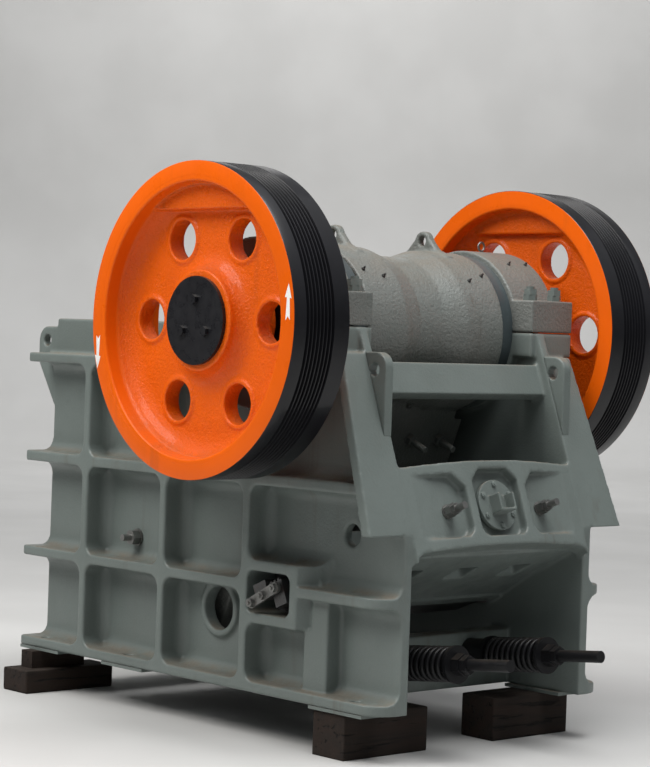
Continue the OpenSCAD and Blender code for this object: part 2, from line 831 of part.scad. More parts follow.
// Rotor: shaft, flywheels and end discs

module eccentric_shaft() {
    color(steel) place() {
        for (m = [0, 1]) mirror([0, m, 0]) translate([0, 0, shaft_h]) {
            along_y(tube_y + 2) cylinder(d = journal_d, h = hub_y1 - tube_y - 2);
        }
        translate([0, 0, ecc_z]) along_y(-tube_y - 2)
            cylinder(d = ecc_d, h = 2 * tube_y + 4, $fn = 96);
    }
}

hub_y1 = wheel_y - hub_in;

// A cove from the web at height h0 to the hub at height h1, from the web inwards
function cove_line(h0, h1) = [for (a = [0:15:90])
    [hub_d / 2 + cove * (1 - sin(a)), h0 + (h1 - h0) * (1 - cos(a))]];

// Half section of a flywheel: radius from the shaft, height from its inner rim face
module wheel_section() {
    g0 = rim_w * 0.27;
    in = rim_w - dish - web_t;
    out = rim_w - dish;
    bore = journal_d / 2 + fit;
    line_in = cove_line(in, in - dish + hub_in);
    polygon(concat(
        [[bore, 0], [hub_d / 2, 0]], [for (i = [6:-1:0]) line_in[i]],
        [[cone_r, in], [dish_r - 6, step_in], [dish_r, 0], [wheel_r - 3, 0], [wheel_r, 3],
        [wheel_r, g0]],
        [for (i = [0:grooves - 1], q = [[0.12, 0], [0.36, 1], [0.64, 1], [0.88, 0]])
            [wheel_r - q[1] * groove_depth, g0 + (i + q[0]) * groove_pitch]],
        [[wheel_r, rim_w - 3], [wheel_r - 3, rim_w], [dish_r, rim_w],
        [dish_r - 6, rim_w - step_in], [cone_r, out]],
        cove_line(out, hub_face_t), [[bore, hub_face_t]]));
}

// The counterweight's outline over the web
module weight_outline() {
    intersection() {
        translate([0, shaft_h]) circle(dish_r - 1, $fn = 120);
        translate([-dish_r, shaft_h + chord_h]) square([2 * dish_r, dish_r]);
    }
}

module flywheel() {
    difference() {
        union() {
            translate([0, wheel_y - rim_w, shaft_h]) rotate([-90, 0, 0]) rotate_extrude($fn = 120)
                wheel_section();
            slab(web_y1 - 1, wheel_y - weight_in) weight_outline();
            slab(wheel_y - rim_w + weight_in, web_y0 + 1) weight_outline();
        }
        for (i = [0:web_holes - 1]) rotate_about_shaft(i * 360 / web_holes)
            translate([web_hole_r, 0, 0]) along_y(web_y0 - 1) cylinder(d = web_hole_d, h = web_t + 2);
    }
}

module rotate_about_shaft(a) {
    translate([0, 0, shaft_h]) rotate([0, a, 0]) children();
}

module flywheel_left() { color(orange) place() left() flywheel(); }
module flywheel_right() { color(orange) place() right() flywheel(); }

module end_disc() {
    translate([0, 0, shaft_h]) {
        along_y(hub_y1 + fit) cylinder(r = disc_r, h = disc_t);
        for (a = [90, 210, 330]) rotate([0, -a, 0]) translate([disc_r * 0.47, 0, 0])
            along_y(hub_y1 + disc_t) hex(36, 16);
    }
}

module end_disc_left() { color(black) place() left() end_disc(); }
module end_disc_right() { color(black) place() right() end_disc(); }

// Swing jaw with its bearing tube

module jaw_profile() {
    difference() {
        polygon([jaw_pt(-60, 130), jaw_pt(0, 0), jaw_pt(jaw_l, 0), jaw_pt(jaw_l, 150),
            jaw_pt(jaw_l - 90, 300), jaw_pt(seat_s + 100, 460), jaw_pt(seat_s - 80, 468),
            jaw_pt(seat_s - 200, 472), jaw_pt(300, jaw_back + 6), jaw_pt(0, jaw_back),
            [-100, shaft_h - 100]]);
        translate([0, ecc_z]) circle(tube_bore_r + 20);
    }
}

// The hollows between the jaw's back ribs
module jaw_hollow() {
    polygon([jaw_pt(420, 90), jaw_pt(seat_s - 230, 90), jaw_pt(seat_s - 230, 600), jaw_pt(420, 800)]);
}

collar_y = 185;
waist_y = 75;

module tube_section() {
    r = tube_r + 4;
    neck = tube_r - waist;
    polygon([[tube_bore_r - 5, -tube_y], [r, -tube_y], [r, -collar_y],
        [neck, -waist_y], [neck, waist_y], [r, collar_y],
        [r, tube_y], [tube_bore_r - 5, tube_y]]);
}

module rod_fork(s) {
    for (y = [s * rod_y - 50, s * rod_y + 26]) slab(y, y + 24) {
        translate(rod_pin) circle(45);
        polygon([rod_pin + [-45, 0], rod_pin + [45, 0], jaw_pt(jaw_l - 60, 220),
            jaw_pt(jaw_l - 1, 60)]);
    }
}

module swing_jaw() {
    y = jaw_y - 6;
    color(light_grey) place() difference() {
        union() {
            slab(-y, y) jaw_profile();
            translate([0, 0, ecc_z]) along_y(0) rotate_extrude($fn = 96) tube_section();
            for (s = [-1, 1]) rod_fork(s);
        }
        for (k = [-1:1]) slab(k * 290 - 125, k * 290 + 125) jaw_hollow();
        translate([0, 0, ecc_z]) along_y(-tube_y - 1)
            cylinder(r = tube_bore_r, h = 2 * tube_y + 2, $fn = 96);
        for (m = [0, 1]) mirror([0, m, 0]) translate([0, 0, ecc_z]) along_y(tube_y)
            cylinder(r = drum_r + 2 * throw + 6, h = 100, $fn = 96);
        for (s = [-1, 1]) slab(s * rod_y - 60, s * rod_y + 60) translate(rod_pin) circle(24);
        on_toggle() seat_block(fit);
    }
}

module jaw_bearings() {
    color(steel) place() for (s = [-1, 1]) scale([1, s, 1]) translate([0, 0, ecc_z])
        along_y(tube_y - 190) difference() {
            cylinder(r = tube_bore_r - fit, h = 180, $fn = 96);
            translate([0, 0, -1]) cylinder(r = ecc_d / 2 + fit, h = 182, $fn = 96);
        }
}

lug_x = -20;
lug_z = ecc_z + tube_r + 50;

module jaw_lugs() {
    color(light_grey) place() for (s = [-1, 1]) difference() {
        slab(s * 270 - 20, s * 270 + 20) difference() {
            union() {
                translate([lug_x, lug_z]) circle(44);
                polygon([[lug_x - 42, lug_z + 12], [lug_x + 42, lug_z + 12],
                    [lug_x + 92, lug_z - 40], [lug_x + 160, lug_z - 66], [lug_x + 160, lug_z - 110],
                    [lug_x - 160, lug_z - 110], [lug_x - 160, lug_z - 66], [lug_x - 92, lug_z - 40]]);
            }
            translate([0, ecc_z]) circle(tube_r + 4 + fit, $fn = 96);
        }
        slab(s * 270 - 21, s * 270 + 21) translate([lug_x, lug_z]) circle(d = 44);
    }
}

module jaw_wedge() {
    color(steel) place() translate([jaw_x, 0, jaw_z]) rotate([0, jaw_lean, 0])
        translate([-plate_t + 10, -jaw_y, -68]) cube([plate_t - 10 - fit, 2 * jaw_y, 62]);
}

// Tension rods with springs

module tension_rods() {
    color(steel) place() for (s = [-1, 1]) on_rod(s) {
        translate([0, 0, 50]) cylinder(d = rod_d, h = rod_l - 50);
        translate([-42, -22, -42]) cube([84, 44, 100]);
        rotate([90, 0, 0]) cylinder(r = 24 - fit, h = 112, center = true);
    }
}

nut_z = rod_l - 310;

module rod_nuts() {
    color(black) place() for (s = [-1, 1]) on_rod(s) difference() {
        union() {
            translate([0, 0, nut_z]) cylinder(d = spring_d + 6, h = 16);
            translate([0, 0, nut_z + 15]) hex(82, 42);
            translate([0, 0, nut_z + 56]) hex(70, 30);
        }
        translate([0, 0, nut_z - 1]) cylinder(d = rod_d + 2 * fit, h = 100);
    }
}

// Height of the wire's middle after u turns: the end turns lie close
function coil_z(u) = let (n = spring_turns, open = (spring_l - 3 * wire_d * 1.02) / (n - 2))
    wire_d / 2 + (u < 1 ? u * wire_d * 1.02
        : u > n - 1 ? wire_d * 1.02 + (n - 2) * open + (u - n + 1) * wire_d * 1.02
        : wire_d * 1.02 + (u - 1) * open);

// A closed coil of round wire around z
module spring() {
    m = 6;
    k = 14;
    steps = spring_turns * k;
    ring_r = (spring_d - wire_d) / 2;
    points = [for (i = [0:steps], j = [0:m - 1])
        let (a = 360 * i / k, b = 360 * (j + 0.5) / m, r = ring_r + wire_d / 2 * cos(b))
        [r * cos(a), r * sin(a), coil_z(i / k) + wire_d / 2 * sin(b)]];
    faces = concat([[for (j = [0:m - 1]) j]],
        [for (i = [0:steps - 1], j = [0:m - 1])
            [i * m + j, (i + 1) * m + j, (i + 1) * m + (j + 1) % m, i * m + (j + 1) % m]],
        [[for (j = [m - 1:-1:0]) steps * m + j]]);
    polyhedron(points, faces);
}

module rod_springs() {
    color(black) place() for (s = [-1, 1]) on_rod(s)
        translate([0, 0, nut_z - spring_l]) spring();
}

module spring_seats() {
    x = nut_z - spring_l;
    reach = x - beam_s;
    rim = 18;
    face = spring_beam_x + spring_beam_t + fit;
    color(steel) place() for (s = [-1, 1]) difference() {
        on_rod(s) {
            translate([0, 0, beam_s]) cylinder(d = spring_d - 20, h = reach - rim / 2);
            translate([0, 0, x - rim]) cylinder(d = spring_d + 6, h = rim - fit);
        }
        on_rod(s) translate([-throw, 0, beam_s - rim]) cylinder(d = rod_d + 44, h = reach + 2 * rim);
        translate([face - 2 * reach, -wall_y, 0]) cube([2 * reach, 2 * wall_y, 2 * spring_beam_h]);
    }
}

// Blocks under the frame

// Pads under the base flange at the foundation bolts

module foot_pads() {
    color(grey) place() for (s = [-1, 1], x = pad_ends) scale([1, s, 1]) difference() {
        translate([x[0], flange_y - pad_w - 3, -pad_t]) cube([x[1] - x[0], pad_w, pad_t - fit]);
        for (h = foot_holes) translate([h, flange_y - foot_hole_in, -pad_t - 1])
            cylinder(d = foot_hole_d, h = pad_t + 2);
    }
}

pad_ends = [[foot_holes[0] - 146, foot_holes[0] + 156], [foot_holes[1] - 150, foot_holes[1] + 150],
    [foot_holes[2] - 243, foot_holes[2] + 74]];
pad_w = 190;

lower_block = [190, 500];
upper_block = [86, 300];
rear_block_size = [190, 470];

module feed_blocks_lower() {
    h = stand_h - upper_block_h - pad_t;
    color(timber) place() for (s = [-1, 1]) scale([1, s, 1])
        translate([foot_holes[0] - 105, 300, -stand_h]) cube([lower_block[0], lower_block[1], h]);
}

module feed_blocks_upper() {
    color(timber) place() for (s = [-1, 1]) scale([1, s, 1])
        translate([foot_holes[0] - 66, 425, -upper_block_h - pad_t])
            cube([upper_block[0], upper_block[1], upper_block_h - fit]);
}

module rear_block() {
    translate([foot_holes[2] - 221, 197, -stand_h])
        cube([rear_block_size[0], rear_block_size[1], stand_h - pad_t - fit]);
}

module rear_blocks() { color(timber) place() both() rear_block(); }

frame_side_left();
frame_side_right();
front_wall();
rear_wall();
toggle_abutment();
spring_beam();
rear_cross_bar();
rear_lugs();
front_lugs();
bearing_cap_left();
bearing_cap_right();
cap_nuts();
frame_bearing_left();
frame_bearing_right();
seal_ring_left();
seal_ring_right();
fixed_jaw_plate();
cheek_plate_left();
cheek_plate_right();
toggle_beam();
shim_pack();
shim_keepers();
toggle_plate();
panel_cover();
panel_studs();
side_studs();
eccentric_shaft();
flywheel_left();
flywheel_right();
end_disc_left();
end_disc_right();
swing_jaw();
jaw_lugs();
jaw_bearings();
swing_jaw_plate();
jaw_wedge();
toggle_seat();
tension_rods();
rod_nuts();
rod_springs();
spring_seats();
foot_pads();
feed_blocks_lower();
feed_blocks_upper();
rear_blocks();
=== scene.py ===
"""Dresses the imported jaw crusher: castings, flywheels, springs, fasteners, paints and stage."""
import json
import math

import bmesh
import bpy
from bpy.props import FloatProperty, FloatVectorProperty, IntProperty, PointerProperty
from bpy.types import Operator, Panel, PropertyGroup
from mathutils import Matrix, Vector


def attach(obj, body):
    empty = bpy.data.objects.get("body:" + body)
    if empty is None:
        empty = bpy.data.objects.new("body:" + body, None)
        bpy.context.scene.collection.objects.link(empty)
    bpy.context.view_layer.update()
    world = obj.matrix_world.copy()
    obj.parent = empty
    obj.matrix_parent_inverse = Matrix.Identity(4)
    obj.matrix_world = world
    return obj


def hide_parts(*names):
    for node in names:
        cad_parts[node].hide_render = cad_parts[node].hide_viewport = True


bl_info = {
    "name": "Jaw Crusher Dressing",
    "version": (1, 0, 0),
    "blender": (4, 5, 0),
    "location": "View3D > Sidebar > Crusher",
    "description": "Rounds, paints and details the packed jaw crusher",
    "category": "Object",
}

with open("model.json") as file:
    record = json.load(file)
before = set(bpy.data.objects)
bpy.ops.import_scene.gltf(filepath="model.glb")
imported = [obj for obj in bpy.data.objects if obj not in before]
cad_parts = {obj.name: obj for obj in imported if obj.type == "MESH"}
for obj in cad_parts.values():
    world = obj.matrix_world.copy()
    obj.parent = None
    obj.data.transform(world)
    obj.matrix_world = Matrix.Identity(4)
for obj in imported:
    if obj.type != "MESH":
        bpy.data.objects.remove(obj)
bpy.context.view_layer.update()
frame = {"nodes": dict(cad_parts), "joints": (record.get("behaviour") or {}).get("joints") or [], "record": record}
SHAFT = Vector(frame["joints"][0]["pos_m"])  # the flywheels' axis, at y = 0
MM = 0.001
SHIFT = Vector((0.345, 0, 0.2))  # from the drawing's millimetres to the row frame
SIDES = (-1, 1)  # the sign of y on the left and on the right

# What the dressing shares with the drawing, in its millimetres
SHAFT_Z, THROW = 1550, 12
JAW_LEAN, PANEL_LEAN, ROD_LEAN = (math.radians(a) for a in (22.7, 20.5, 6))
JAW_X, JAW_LENGTH, ROD_PIN_BACK = -460, 1400, 325
ROD_Y, ROD_R, ROD_END_X, ROD_END_Z = 270, 25, 1099, 224
NUT_BACK, SPRING_LENGTH = 310, 300  # the springs' outer ends from the rods' ends, and their room

# The flywheels, in metres: faces as y, the rest as radii from the shaft
FACE, INNER, WEB_OUT, WEB_IN, HUB_OUT, HUB_IN = 1.0795, 0.7855, 0.962, 0.900, 1.032, 0.830
BORE_R, HUB_R, COVE, DISH_R, RIM_LAP_R, RIM_R = 0.1203, 0.208, 0.092, 0.566, 0.60, 0.65
HOLES, HOLE_RING, HOLE_R = 6, 0.385, 0.083
WEIGHT_CHORD, WEIGHT_R, WEIGHT_OUT, WEIGHT_IN = 0.455, 0.560, 1.022, 0.859
BLACK_FROM_R = 0.633  # the rim is black outside this radius

# Edges sharper than these angles, in degrees, stay crisp
CAST_EDGE, TURNED_EDGE, BOLT_EDGE = 65, 40, 35


def at(x, y, z):
    """A point of the drawing (shaft at x 0, frame underside at z 0, millimetres) in metres."""
    return Vector((x, y, z)) * MM + SHIFT


# Sizes and colours a user may change

def colour(name, text, value):
    """A colour that the panel shows."""
    return FloatVectorProperty(name=name, description=text, subtype="COLOR", size=3, min=0, max=1,
                               default=value)


class CRUSHER_PG_paints(PropertyGroup):
    enamel: colour("Enamel", "Grey green paint of the frame", (0.150, 0.176, 0.165))
    pale_enamel: colour("Pale enamel", "Thinner paint of the jaw tube and bearing caps",
                        (0.150, 0.157, 0.146))
    orange: colour("Orange", "Paint of the flywheels", (0.80, 0.118, 0.003))
    black: colour("Black", "Paint of the rims, discs and springs", (0.008, 0.008, 0.0095))
    dust: colour("Dust", "Dust that lies on level faces", (0.17, 0.125, 0.085))
    dust_amount: FloatProperty(name="Dust amount", description="How much dust lies on level faces",
                               default=0.6, min=0, max=1, subtype="FACTOR")


class CRUSHER_PG_sizes(PropertyGroup):
    voxel: FloatProperty(name="Casting grain", description="Cell size for rounding the castings",
                         default=0.0065, min=0.004, max=0.02, unit="LENGTH")
    rounding: IntProperty(name="Rounding passes", description="How far cast edges are rounded",
                          default=5, min=1, max=30)
    spring_turns: FloatProperty(name="Spring turns", description="Turns of each rod spring",
                                default=9, min=5, max=12)
    lip: FloatProperty(name="Hole lip", description="Width of the lips round the flywheel holes",
                       default=0.018, min=0.005, max=0.03, unit="LENGTH")


# Node helpers

VALUE, VECTOR, COLOUR = "NodeSocketFloat", "NodeSocketVector", "NodeSocketColor"
GEOMETRY = "NodeSocketGeometry"


def put(tree, kind, inputs=None, **settings):
    """Adds a node, sets its properties, and fills its inputs with values or links."""
    made = tree.nodes.new(kind)
    for key, value in settings.items():
        setattr(made, key, value)
    for key, value in (inputs or {}).items():
        if isinstance(value, bpy.types.NodeSocket):
            tree.links.new(value, made.inputs[key])
        else:
            made.inputs[key].default_value = value
    return made


def sums(tree, what, a, b=0.0, clamp=False):
    """One step of arithmetic."""
    return put(tree, "ShaderNodeMath", {0: a, 1: b}, operation=what, use_clamp=clamp).outputs[0]


def times(tree, a, b, clamp=False):
    """The product of two values."""
    return sums(tree, "MULTIPLY", a, b, clamp)


def ramp(tree, value, low, high, to_low=0.0, to_high=1.0):
    """Maps value from low..high to to_low..to_high smoothly, held at the ends."""
    return put(tree, "ShaderNodeMapRange", {0: value, 1: low, 2: high, 3: to_low, 4: to_high},
               interpolation_type="SMOOTHSTEP").outputs[0]


def blend(tree, share, a, b):
    """Colour a, with a share of colour b over it."""
    return put(tree, "ShaderNodeMix", {0: share, 6: a, 7: b}, data_type="RGBA").outputs[2]


def noise(tree, vector, scale, detail=2.0, rough=0.5):
    """Cloudy noise from 0 to 1."""
    return put(tree, "ShaderNodeTexNoise", {"Vector": vector, "Scale": scale, "Detail": detail,
                                            "Roughness": rough}).outputs[0]


def stretched(tree, vector, scale):
    """The coordinates scaled along each axis."""
    return put(tree, "ShaderNodeMapping", {0: vector, 3: scale}).outputs[0]


def group(name, inputs, outputs, fill):
    """A shader node group with named sockets, whose inside fill(tree, ins) returns by name."""
    tree = bpy.data.node_groups.new(name, "ShaderNodeTree")
    for key, kind, default in inputs:
        socket = tree.interface.new_socket(key, in_out="INPUT", socket_type=kind)
        if default is not None:
            socket.default_value = default
    for key, kind in outputs:
        tree.interface.new_socket(key, in_out="OUTPUT", socket_type=kind)
    ins = tree.nodes.new("NodeGroupInput")
    outs = tree.nodes.new("NodeGroupOutput")
    for key, socket in fill(tree, {s.name: s for s in ins.outputs}).items():
        tree.links.new(socket, outs.inputs[key])


def use(tree, name, inputs):
    """Places a node group in a material and returns its outputs by name."""
    return put(tree, "ShaderNodeGroup", inputs, node_tree=bpy.data.node_groups[name]).outputs


def cast_skin(tree, ins):
    """Low swells, sand grain and small pits of a painted casting."""
    v = ins["Vector"]
    swell = noise(tree, v, times(tree, ins["Grain"], 0.08), 2)
    grain = noise(tree, v, ins["Grain"], 4, 0.6)
    cells = put(tree, "ShaderNodeTexVoronoi",
                {"Vector": v, "Scale": times(tree, ins["Grain"], 0.45)},
                feature="SMOOTH_F1").outputs[0]
    pits = ramp(tree, cells, 0.0, 0.28, -1.0, 0.0)
    skin = sums(tree, "ADD", times(tree, swell, ins["Swell"]), grain)
    return {"Height": sums(tree, "ADD", skin, times(tree, pits, ins["Pits"]))}


def paint_tone(tree, ins):
    """Uneven coats: slow patches of lighter and darker paint, and thin spots."""
    v = ins["Vector"]
    patch = ramp(tree, noise(tree, v, 2.3, 3), 0.35, 0.68)
    speck = ramp(tree, noise(tree, v, 38.0, 3), 0.55, 0.75)
    tone = blend(tree, times(tree, patch, ins["Patches"]), ins["Color"], ins["Second"])
    return {"Color": blend(tree, times(tree, speck, ins["Specks"]), tone, ins["Second"])}


def lying_dust(tree, ins):
    """Dust on faces that look up, thicker in patches, and the mask of where it lies."""
    v = ins["Vector"]
    up = put(tree, "ShaderNodeSeparateXYZ",
             {0: put(tree, "ShaderNodeNewGeometry").outputs["Normal"]}).outputs[2]
    level = ramp(tree, up, 0.45, 0.96)
    patch = ramp(tree, noise(tree, v, 7.0, 5, 0.65), 0.25, 0.62)
    fine = ramp(tree, noise(tree, v, 60.0, 3), 0.3, 0.7, 0.65, 1.0)
    mask = times(tree, times(tree, times(tree, level, patch), fine), ins["Amount"], clamp=True)
    return {"Color": blend(tree, mask, ins["Color"], ins["Dust"]), "Mask": mask}


def run_marks(tree, ins):
    """Grime that has run down steep faces in thin streaks."""
    v = ins["Vector"]
    narrow = noise(tree, stretched(tree, v, (17.0, 17.0, 0.9)), 1.0, 4, 0.55)
    broad = noise(tree, stretched(tree, v, (3.0, 3.0, 1.2)), 1.0, 3)
    mask = times(tree, ramp(tree, narrow, 0.52, 0.74), ramp(tree, broad, 0.42, 0.7))
    mask = times(tree, mask, ins["Amount"], clamp=True)
    return {"Color": blend(tree, mask, ins["Color"], ins["Grime"])}


def build_groups():
    """Makes the node groups that the paints share."""
    vector, color = ("Vector", VECTOR, None), ("Color", COLOUR, None)
    group("cast skin", [vector, ("Grain", VALUE, 90.0), ("Swell", VALUE, 1.0),
                        ("Pits", VALUE, 0.2)], [("Height", VALUE)], cast_skin)
    group("paint tone", [vector, color, ("Second", COLOUR, None), ("Patches", VALUE, 0.5),
                         ("Specks", VALUE, 0.2)], [("Color", COLOUR)], paint_tone)
    group("lying dust", [vector, color, ("Dust", COLOUR, None), ("Amount", VALUE, 0.6)],
          [("Color", COLOUR), ("Mask", VALUE)], lying_dust)
    group("run marks", [vector, color, ("Grime", COLOUR, None), ("Amount", VALUE, 0.4)],
          [("Color", COLOUR)], run_marks)


# Paints

def start_material(name, **shader):
    """A new material with its shader's constants set, and the object coordinates to draw on."""
    made = bpy.data.materials.new(name)
    made.use_nodes = True
    tree = made.node_tree
    bsdf = tree.nodes["Principled BSDF"]
    for key, value in shader.items():
        bsdf.inputs[key.replace("_", " ")].default_value = value
    where = put(tree, "ShaderNodeTexCoord").outputs["Object"]
    return made, tree, bsdf, where


def rgba(c, k=1.0):
    """A colour times k, with full alpha."""
    return (c[0] * k, c[1] * k, c[2] * k, 1.0)


def bump(tree, bsdf, height, strength, distance):
    """Roughens the shader's surface by a height."""
    made = put(tree, "ShaderNodeBump",
               {"Height": height, "Strength": strength, "Distance": distance})
    tree.links.new(made.outputs[0], bsdf.inputs["Normal"])


def enamel_material(name, base, second, grain, swell, pits, depth, rough, dust, runs, coat=0.12):
    """Sprayed enamel over a casting, with dust on level faces and faint runs of grime."""
    p = bpy.context.scene.crusher_paints
    made, tree, bsdf, v = start_material(name, Coat_Roughness=0.25, Specular_IOR_Level=0.3)
    tone = use(tree, "paint tone", {"Vector": v, "Color": rgba(base), "Second": rgba(second),
                                    "Patches": 0.6, "Specks": 0.25})
    run = use(tree, "run marks", {"Vector": v, "Color": tone["Color"],
                                  "Grime": rgba(p.dust, 0.45), "Amount": runs})
    top = use(tree, "lying dust", {"Vector": v, "Color": run["Color"], "Dust": rgba(p.dust),
                                   "Amount": dust * p.dust_amount})
    tree.links.new(top["Color"], bsdf.inputs["Base Color"])
    uneven = ramp(tree, noise(tree, v, 11.0, 4), 0.3, 0.7, rough - 0.07, rough + 0.09)
    tree.links.new(ramp(tree, top["Mask"], 0.0, 1.0, uneven, 0.92), bsdf.inputs["Roughness"])
    tree.links.new(ramp(tree, top["Mask"], 0.0, 0.6, coat, 0.0), bsdf.inputs["Coat Weight"])
    skin = use(tree, "cast skin", {"Vector": v, "Grain": grain, "Swell": swell, "Pits": pits})
    bump(tree, bsdf, skin["Height"], 0.8, depth)
    return made


def wheel_material():
    """Orange enamel with the rim's belt face black, parted at the corner of the rim."""
    p = bpy.context.scene.crusher_paints
    made, tree, bsdf, v = start_material("wheel_paint", Coat_Roughness=0.12,
                                         Specular_IOR_Level=0.15)
    centred = put(tree, "ShaderNodeMapping", {0: v, 1: (-SHAFT.x, 0, -SHAFT.z)}).outputs[0]
    xyz = put(tree, "ShaderNodeSeparateXYZ", {0: centred}).outputs
    square = sums(tree, "ADD", times(tree, xyz[0], xyz[0]), times(tree, xyz[2], xyz[2]))
    radius = sums(tree, "SQRT", square)
    height = sums(tree, "ABSOLUTE", xyz[1])
    wander = times(tree, noise(tree, centred, 14.0, 3), 0.0015)
    outside = ramp(tree, radius, BLACK_FROM_R - 0.0005, BLACK_FROM_R + 0.0005)
    inward = ramp(tree, sums(tree, "ADD", height, wander), FACE - 0.0012, FACE - 0.0006, 1.0, 0.0)
    black = times(tree, times(tree, outside, inward),
                  ramp(tree, height, INNER + 0.0001, INNER + 0.0007))
    tone = use(tree, "paint tone", {"Vector": v, "Color": rgba(p.orange),
                                    "Second": rgba(p.orange, 0.78), "Patches": 0.4,
                                    "Specks": 0.12})
    rough_part = ramp(tree, radius, DISH_R - 0.014, DISH_R, 1.0, 0.0)
    run = use(tree, "run marks", {"Vector": v, "Color": tone["Color"],
                                  "Grime": (0.30, 0.06, 0.012, 1), "Amount": 0.35})
    dirty = use(tree, "lying dust", {"Vector": v, "Color": run["Color"],
                                     "Dust": rgba(p.dust, 0.8), "Amount": 0.35})
    rim = use(tree, "paint tone", {"Vector": v, "Color": rgba(p.black),
                                   "Second": rgba(p.black, 2.2), "Patches": 0.5, "Specks": 0.3})
    tree.links.new(blend(tree, black, dirty["Color"], rim["Color"]), bsdf.inputs["Base Color"])
    uneven = ramp(tree, noise(tree, v, 9.0, 4), 0.3, 0.7, 0.26, 0.38)
    tree.links.new(ramp(tree, black, 0.0, 1.0, uneven, 0.36), bsdf.inputs["Roughness"])
    enamel = ramp(tree, rough_part, 0.0, 1.0, 0.03, 0.16)
    tree.links.new(ramp(tree, black, 0.0, 1.0, enamel, 0.3), bsdf.inputs["Coat Weight"])
    skin = use(tree, "cast skin", {"Vector": v, "Grain": 95.0, "Swell": 1.2, "Pits": 0.08})
    smooth = use(tree, "cast skin", {"Vector": v, "Grain": 160.0, "Swell": 0.5, "Pits": 0.0})
    deep = times(tree, skin["Height"], ramp(tree, rough_part, 0.0, 1.0))
    shallow = times(tree, smooth["Height"], 0.04)
    bump(tree, bsdf, sums(tree, "ADD", deep, shallow), 0.9, 0.0065)
    return made


def plain_paint(name, base, rough, grain, depth, dust=0.3, coat=0.06, shine=0.3):
    """Paint on a machined or small piece, with a little dust."""
    p = bpy.context.scene.crusher_paints
    made, tree, bsdf, v = start_material(name, Coat_Roughness=0.2, Specular_IOR_Level=shine)
    tone = use(tree, "paint tone", {"Vector": v, "Color": rgba(base), "Second": rgba(base, 1.9),
                                    "Patches": 0.35, "Specks": 0.3})
    top = use(tree, "lying dust", {"Vector": v, "Color": tone["Color"], "Dust": rgba(p.dust),
                                   "Amount": dust * p.dust_amount})
    tree.links.new(top["Color"], bsdf.inputs["Base Color"])
    uneven = ramp(tree, noise(tree, v, 30.0, 3), 0.3, 0.7, rough - 0.05, rough + 0.1)
    tree.links.new(ramp(tree, top["Mask"], 0.0, 1.0, uneven, 0.9), bsdf.inputs["Roughness"])
    tree.links.new(ramp(tree, top["Mask"], 0.0, 0.6, coat, 0.0), bsdf.inputs["Coat Weight"])
    skin = use(tree, "cast skin", {"Vector": v, "Grain": grain, "Swell": 0.6, "Pits": 0.1})
    bump(tree, bsdf, skin["Height"], 0.5, depth)
    return made


def metal_material(name, base, rough, metallic, grain, rust, depth=0.0006):
    """Bare or oiled metal with fine scratches, dull patches and a bloom of rust."""
    made, tree, bsdf, v = start_material(name)
    lines = noise(tree, stretched(tree, v, (40.0, 900.0, 900.0)), 1.0, 3)
    patch = ramp(tree, noise(tree, v, 17.0, 5, 0.6), 0.42, 0.66)
    bloom = ramp(tree, noise(tree, v, 34.0, 6, 0.7), 0.5, 0.7)
    dull = blend(tree, patch, rgba(base), rgba(base, 0.62))
    rusty = blend(tree, times(tree, bloom, rust), dull, (0.13, 0.048, 0.02, 1))
    tree.links.new(rusty, bsdf.inputs["Base Color"])
    tree.links.new(ramp(tree, bloom, 0.0, 1.0, metallic, metallic * (1 - rust)),
                   bsdf.inputs["Metallic"])
    tree.links.new(ramp(tree, lines, 0.3, 0.7, rough - 0.06, rough + 0.12),
                   bsdf.inputs["Roughness"])
    skin = use(tree, "cast skin", {"Vector": v, "Grain": grain, "Swell": 0.4, "Pits": 0.5})
    bump(tree, bsdf, skin["Height"], 0.5, depth)
    return made


def timber_material():
    """Old dark sleepers: grain and checks along y, soaked and dusty."""
    made, tree, bsdf, v = start_material("timber", Specular_IOR_Level=0.25)
    along = stretched(tree, v, (1.0, 0.07, 1.0))
    grain = noise(tree, along, 95.0, 6, 0.7)
    broad = noise(tree, along, 16.0, 4)
    checks = ramp(tree, noise(tree, along, 44.0, 3), 0.60, 0.66)
    fibre = blend(tree, ramp(tree, grain, 0.3, 0.7), (0.010, 0.0075, 0.006, 1),
                  (0.030, 0.022, 0.018, 1))
    stained = blend(tree, ramp(tree, broad, 0.35, 0.65), fibre, (0.026, 0.017, 0.013, 1))
    cracked = blend(tree, checks, stained, (0.008, 0.006, 0.005, 1))
    top = use(tree, "lying dust", {"Vector": v, "Color": cracked,
                                   "Dust": (0.060, 0.047, 0.037, 1), "Amount": 0.4})
    tree.links.new(top["Color"], bsdf.inputs["Base Color"])
    tree.links.new(ramp(tree, grain, 0.3, 0.7, 0.75, 0.95), bsdf.inputs["Roughness"])
    height = sums(tree, "SUBTRACT", times(tree, grain, 0.5), checks)
    bump(tree, bsdf, height, 0.9, 0.004)
    return made


def stage_material():
    """The studio's pale floor and wall."""
    made, tree, bsdf, v = start_material("studio_floor", Roughness=0.85)
    soft = ramp(tree, noise(tree, v, 0.8, 3), 0.3, 0.7)
    tree.links.new(blend(tree, soft, (0.50, 0.496, 0.485, 1), (0.54, 0.536, 0.525, 1)),
                   bsdf.inputs["Base Color"])
    return made


MATERIALS = {}


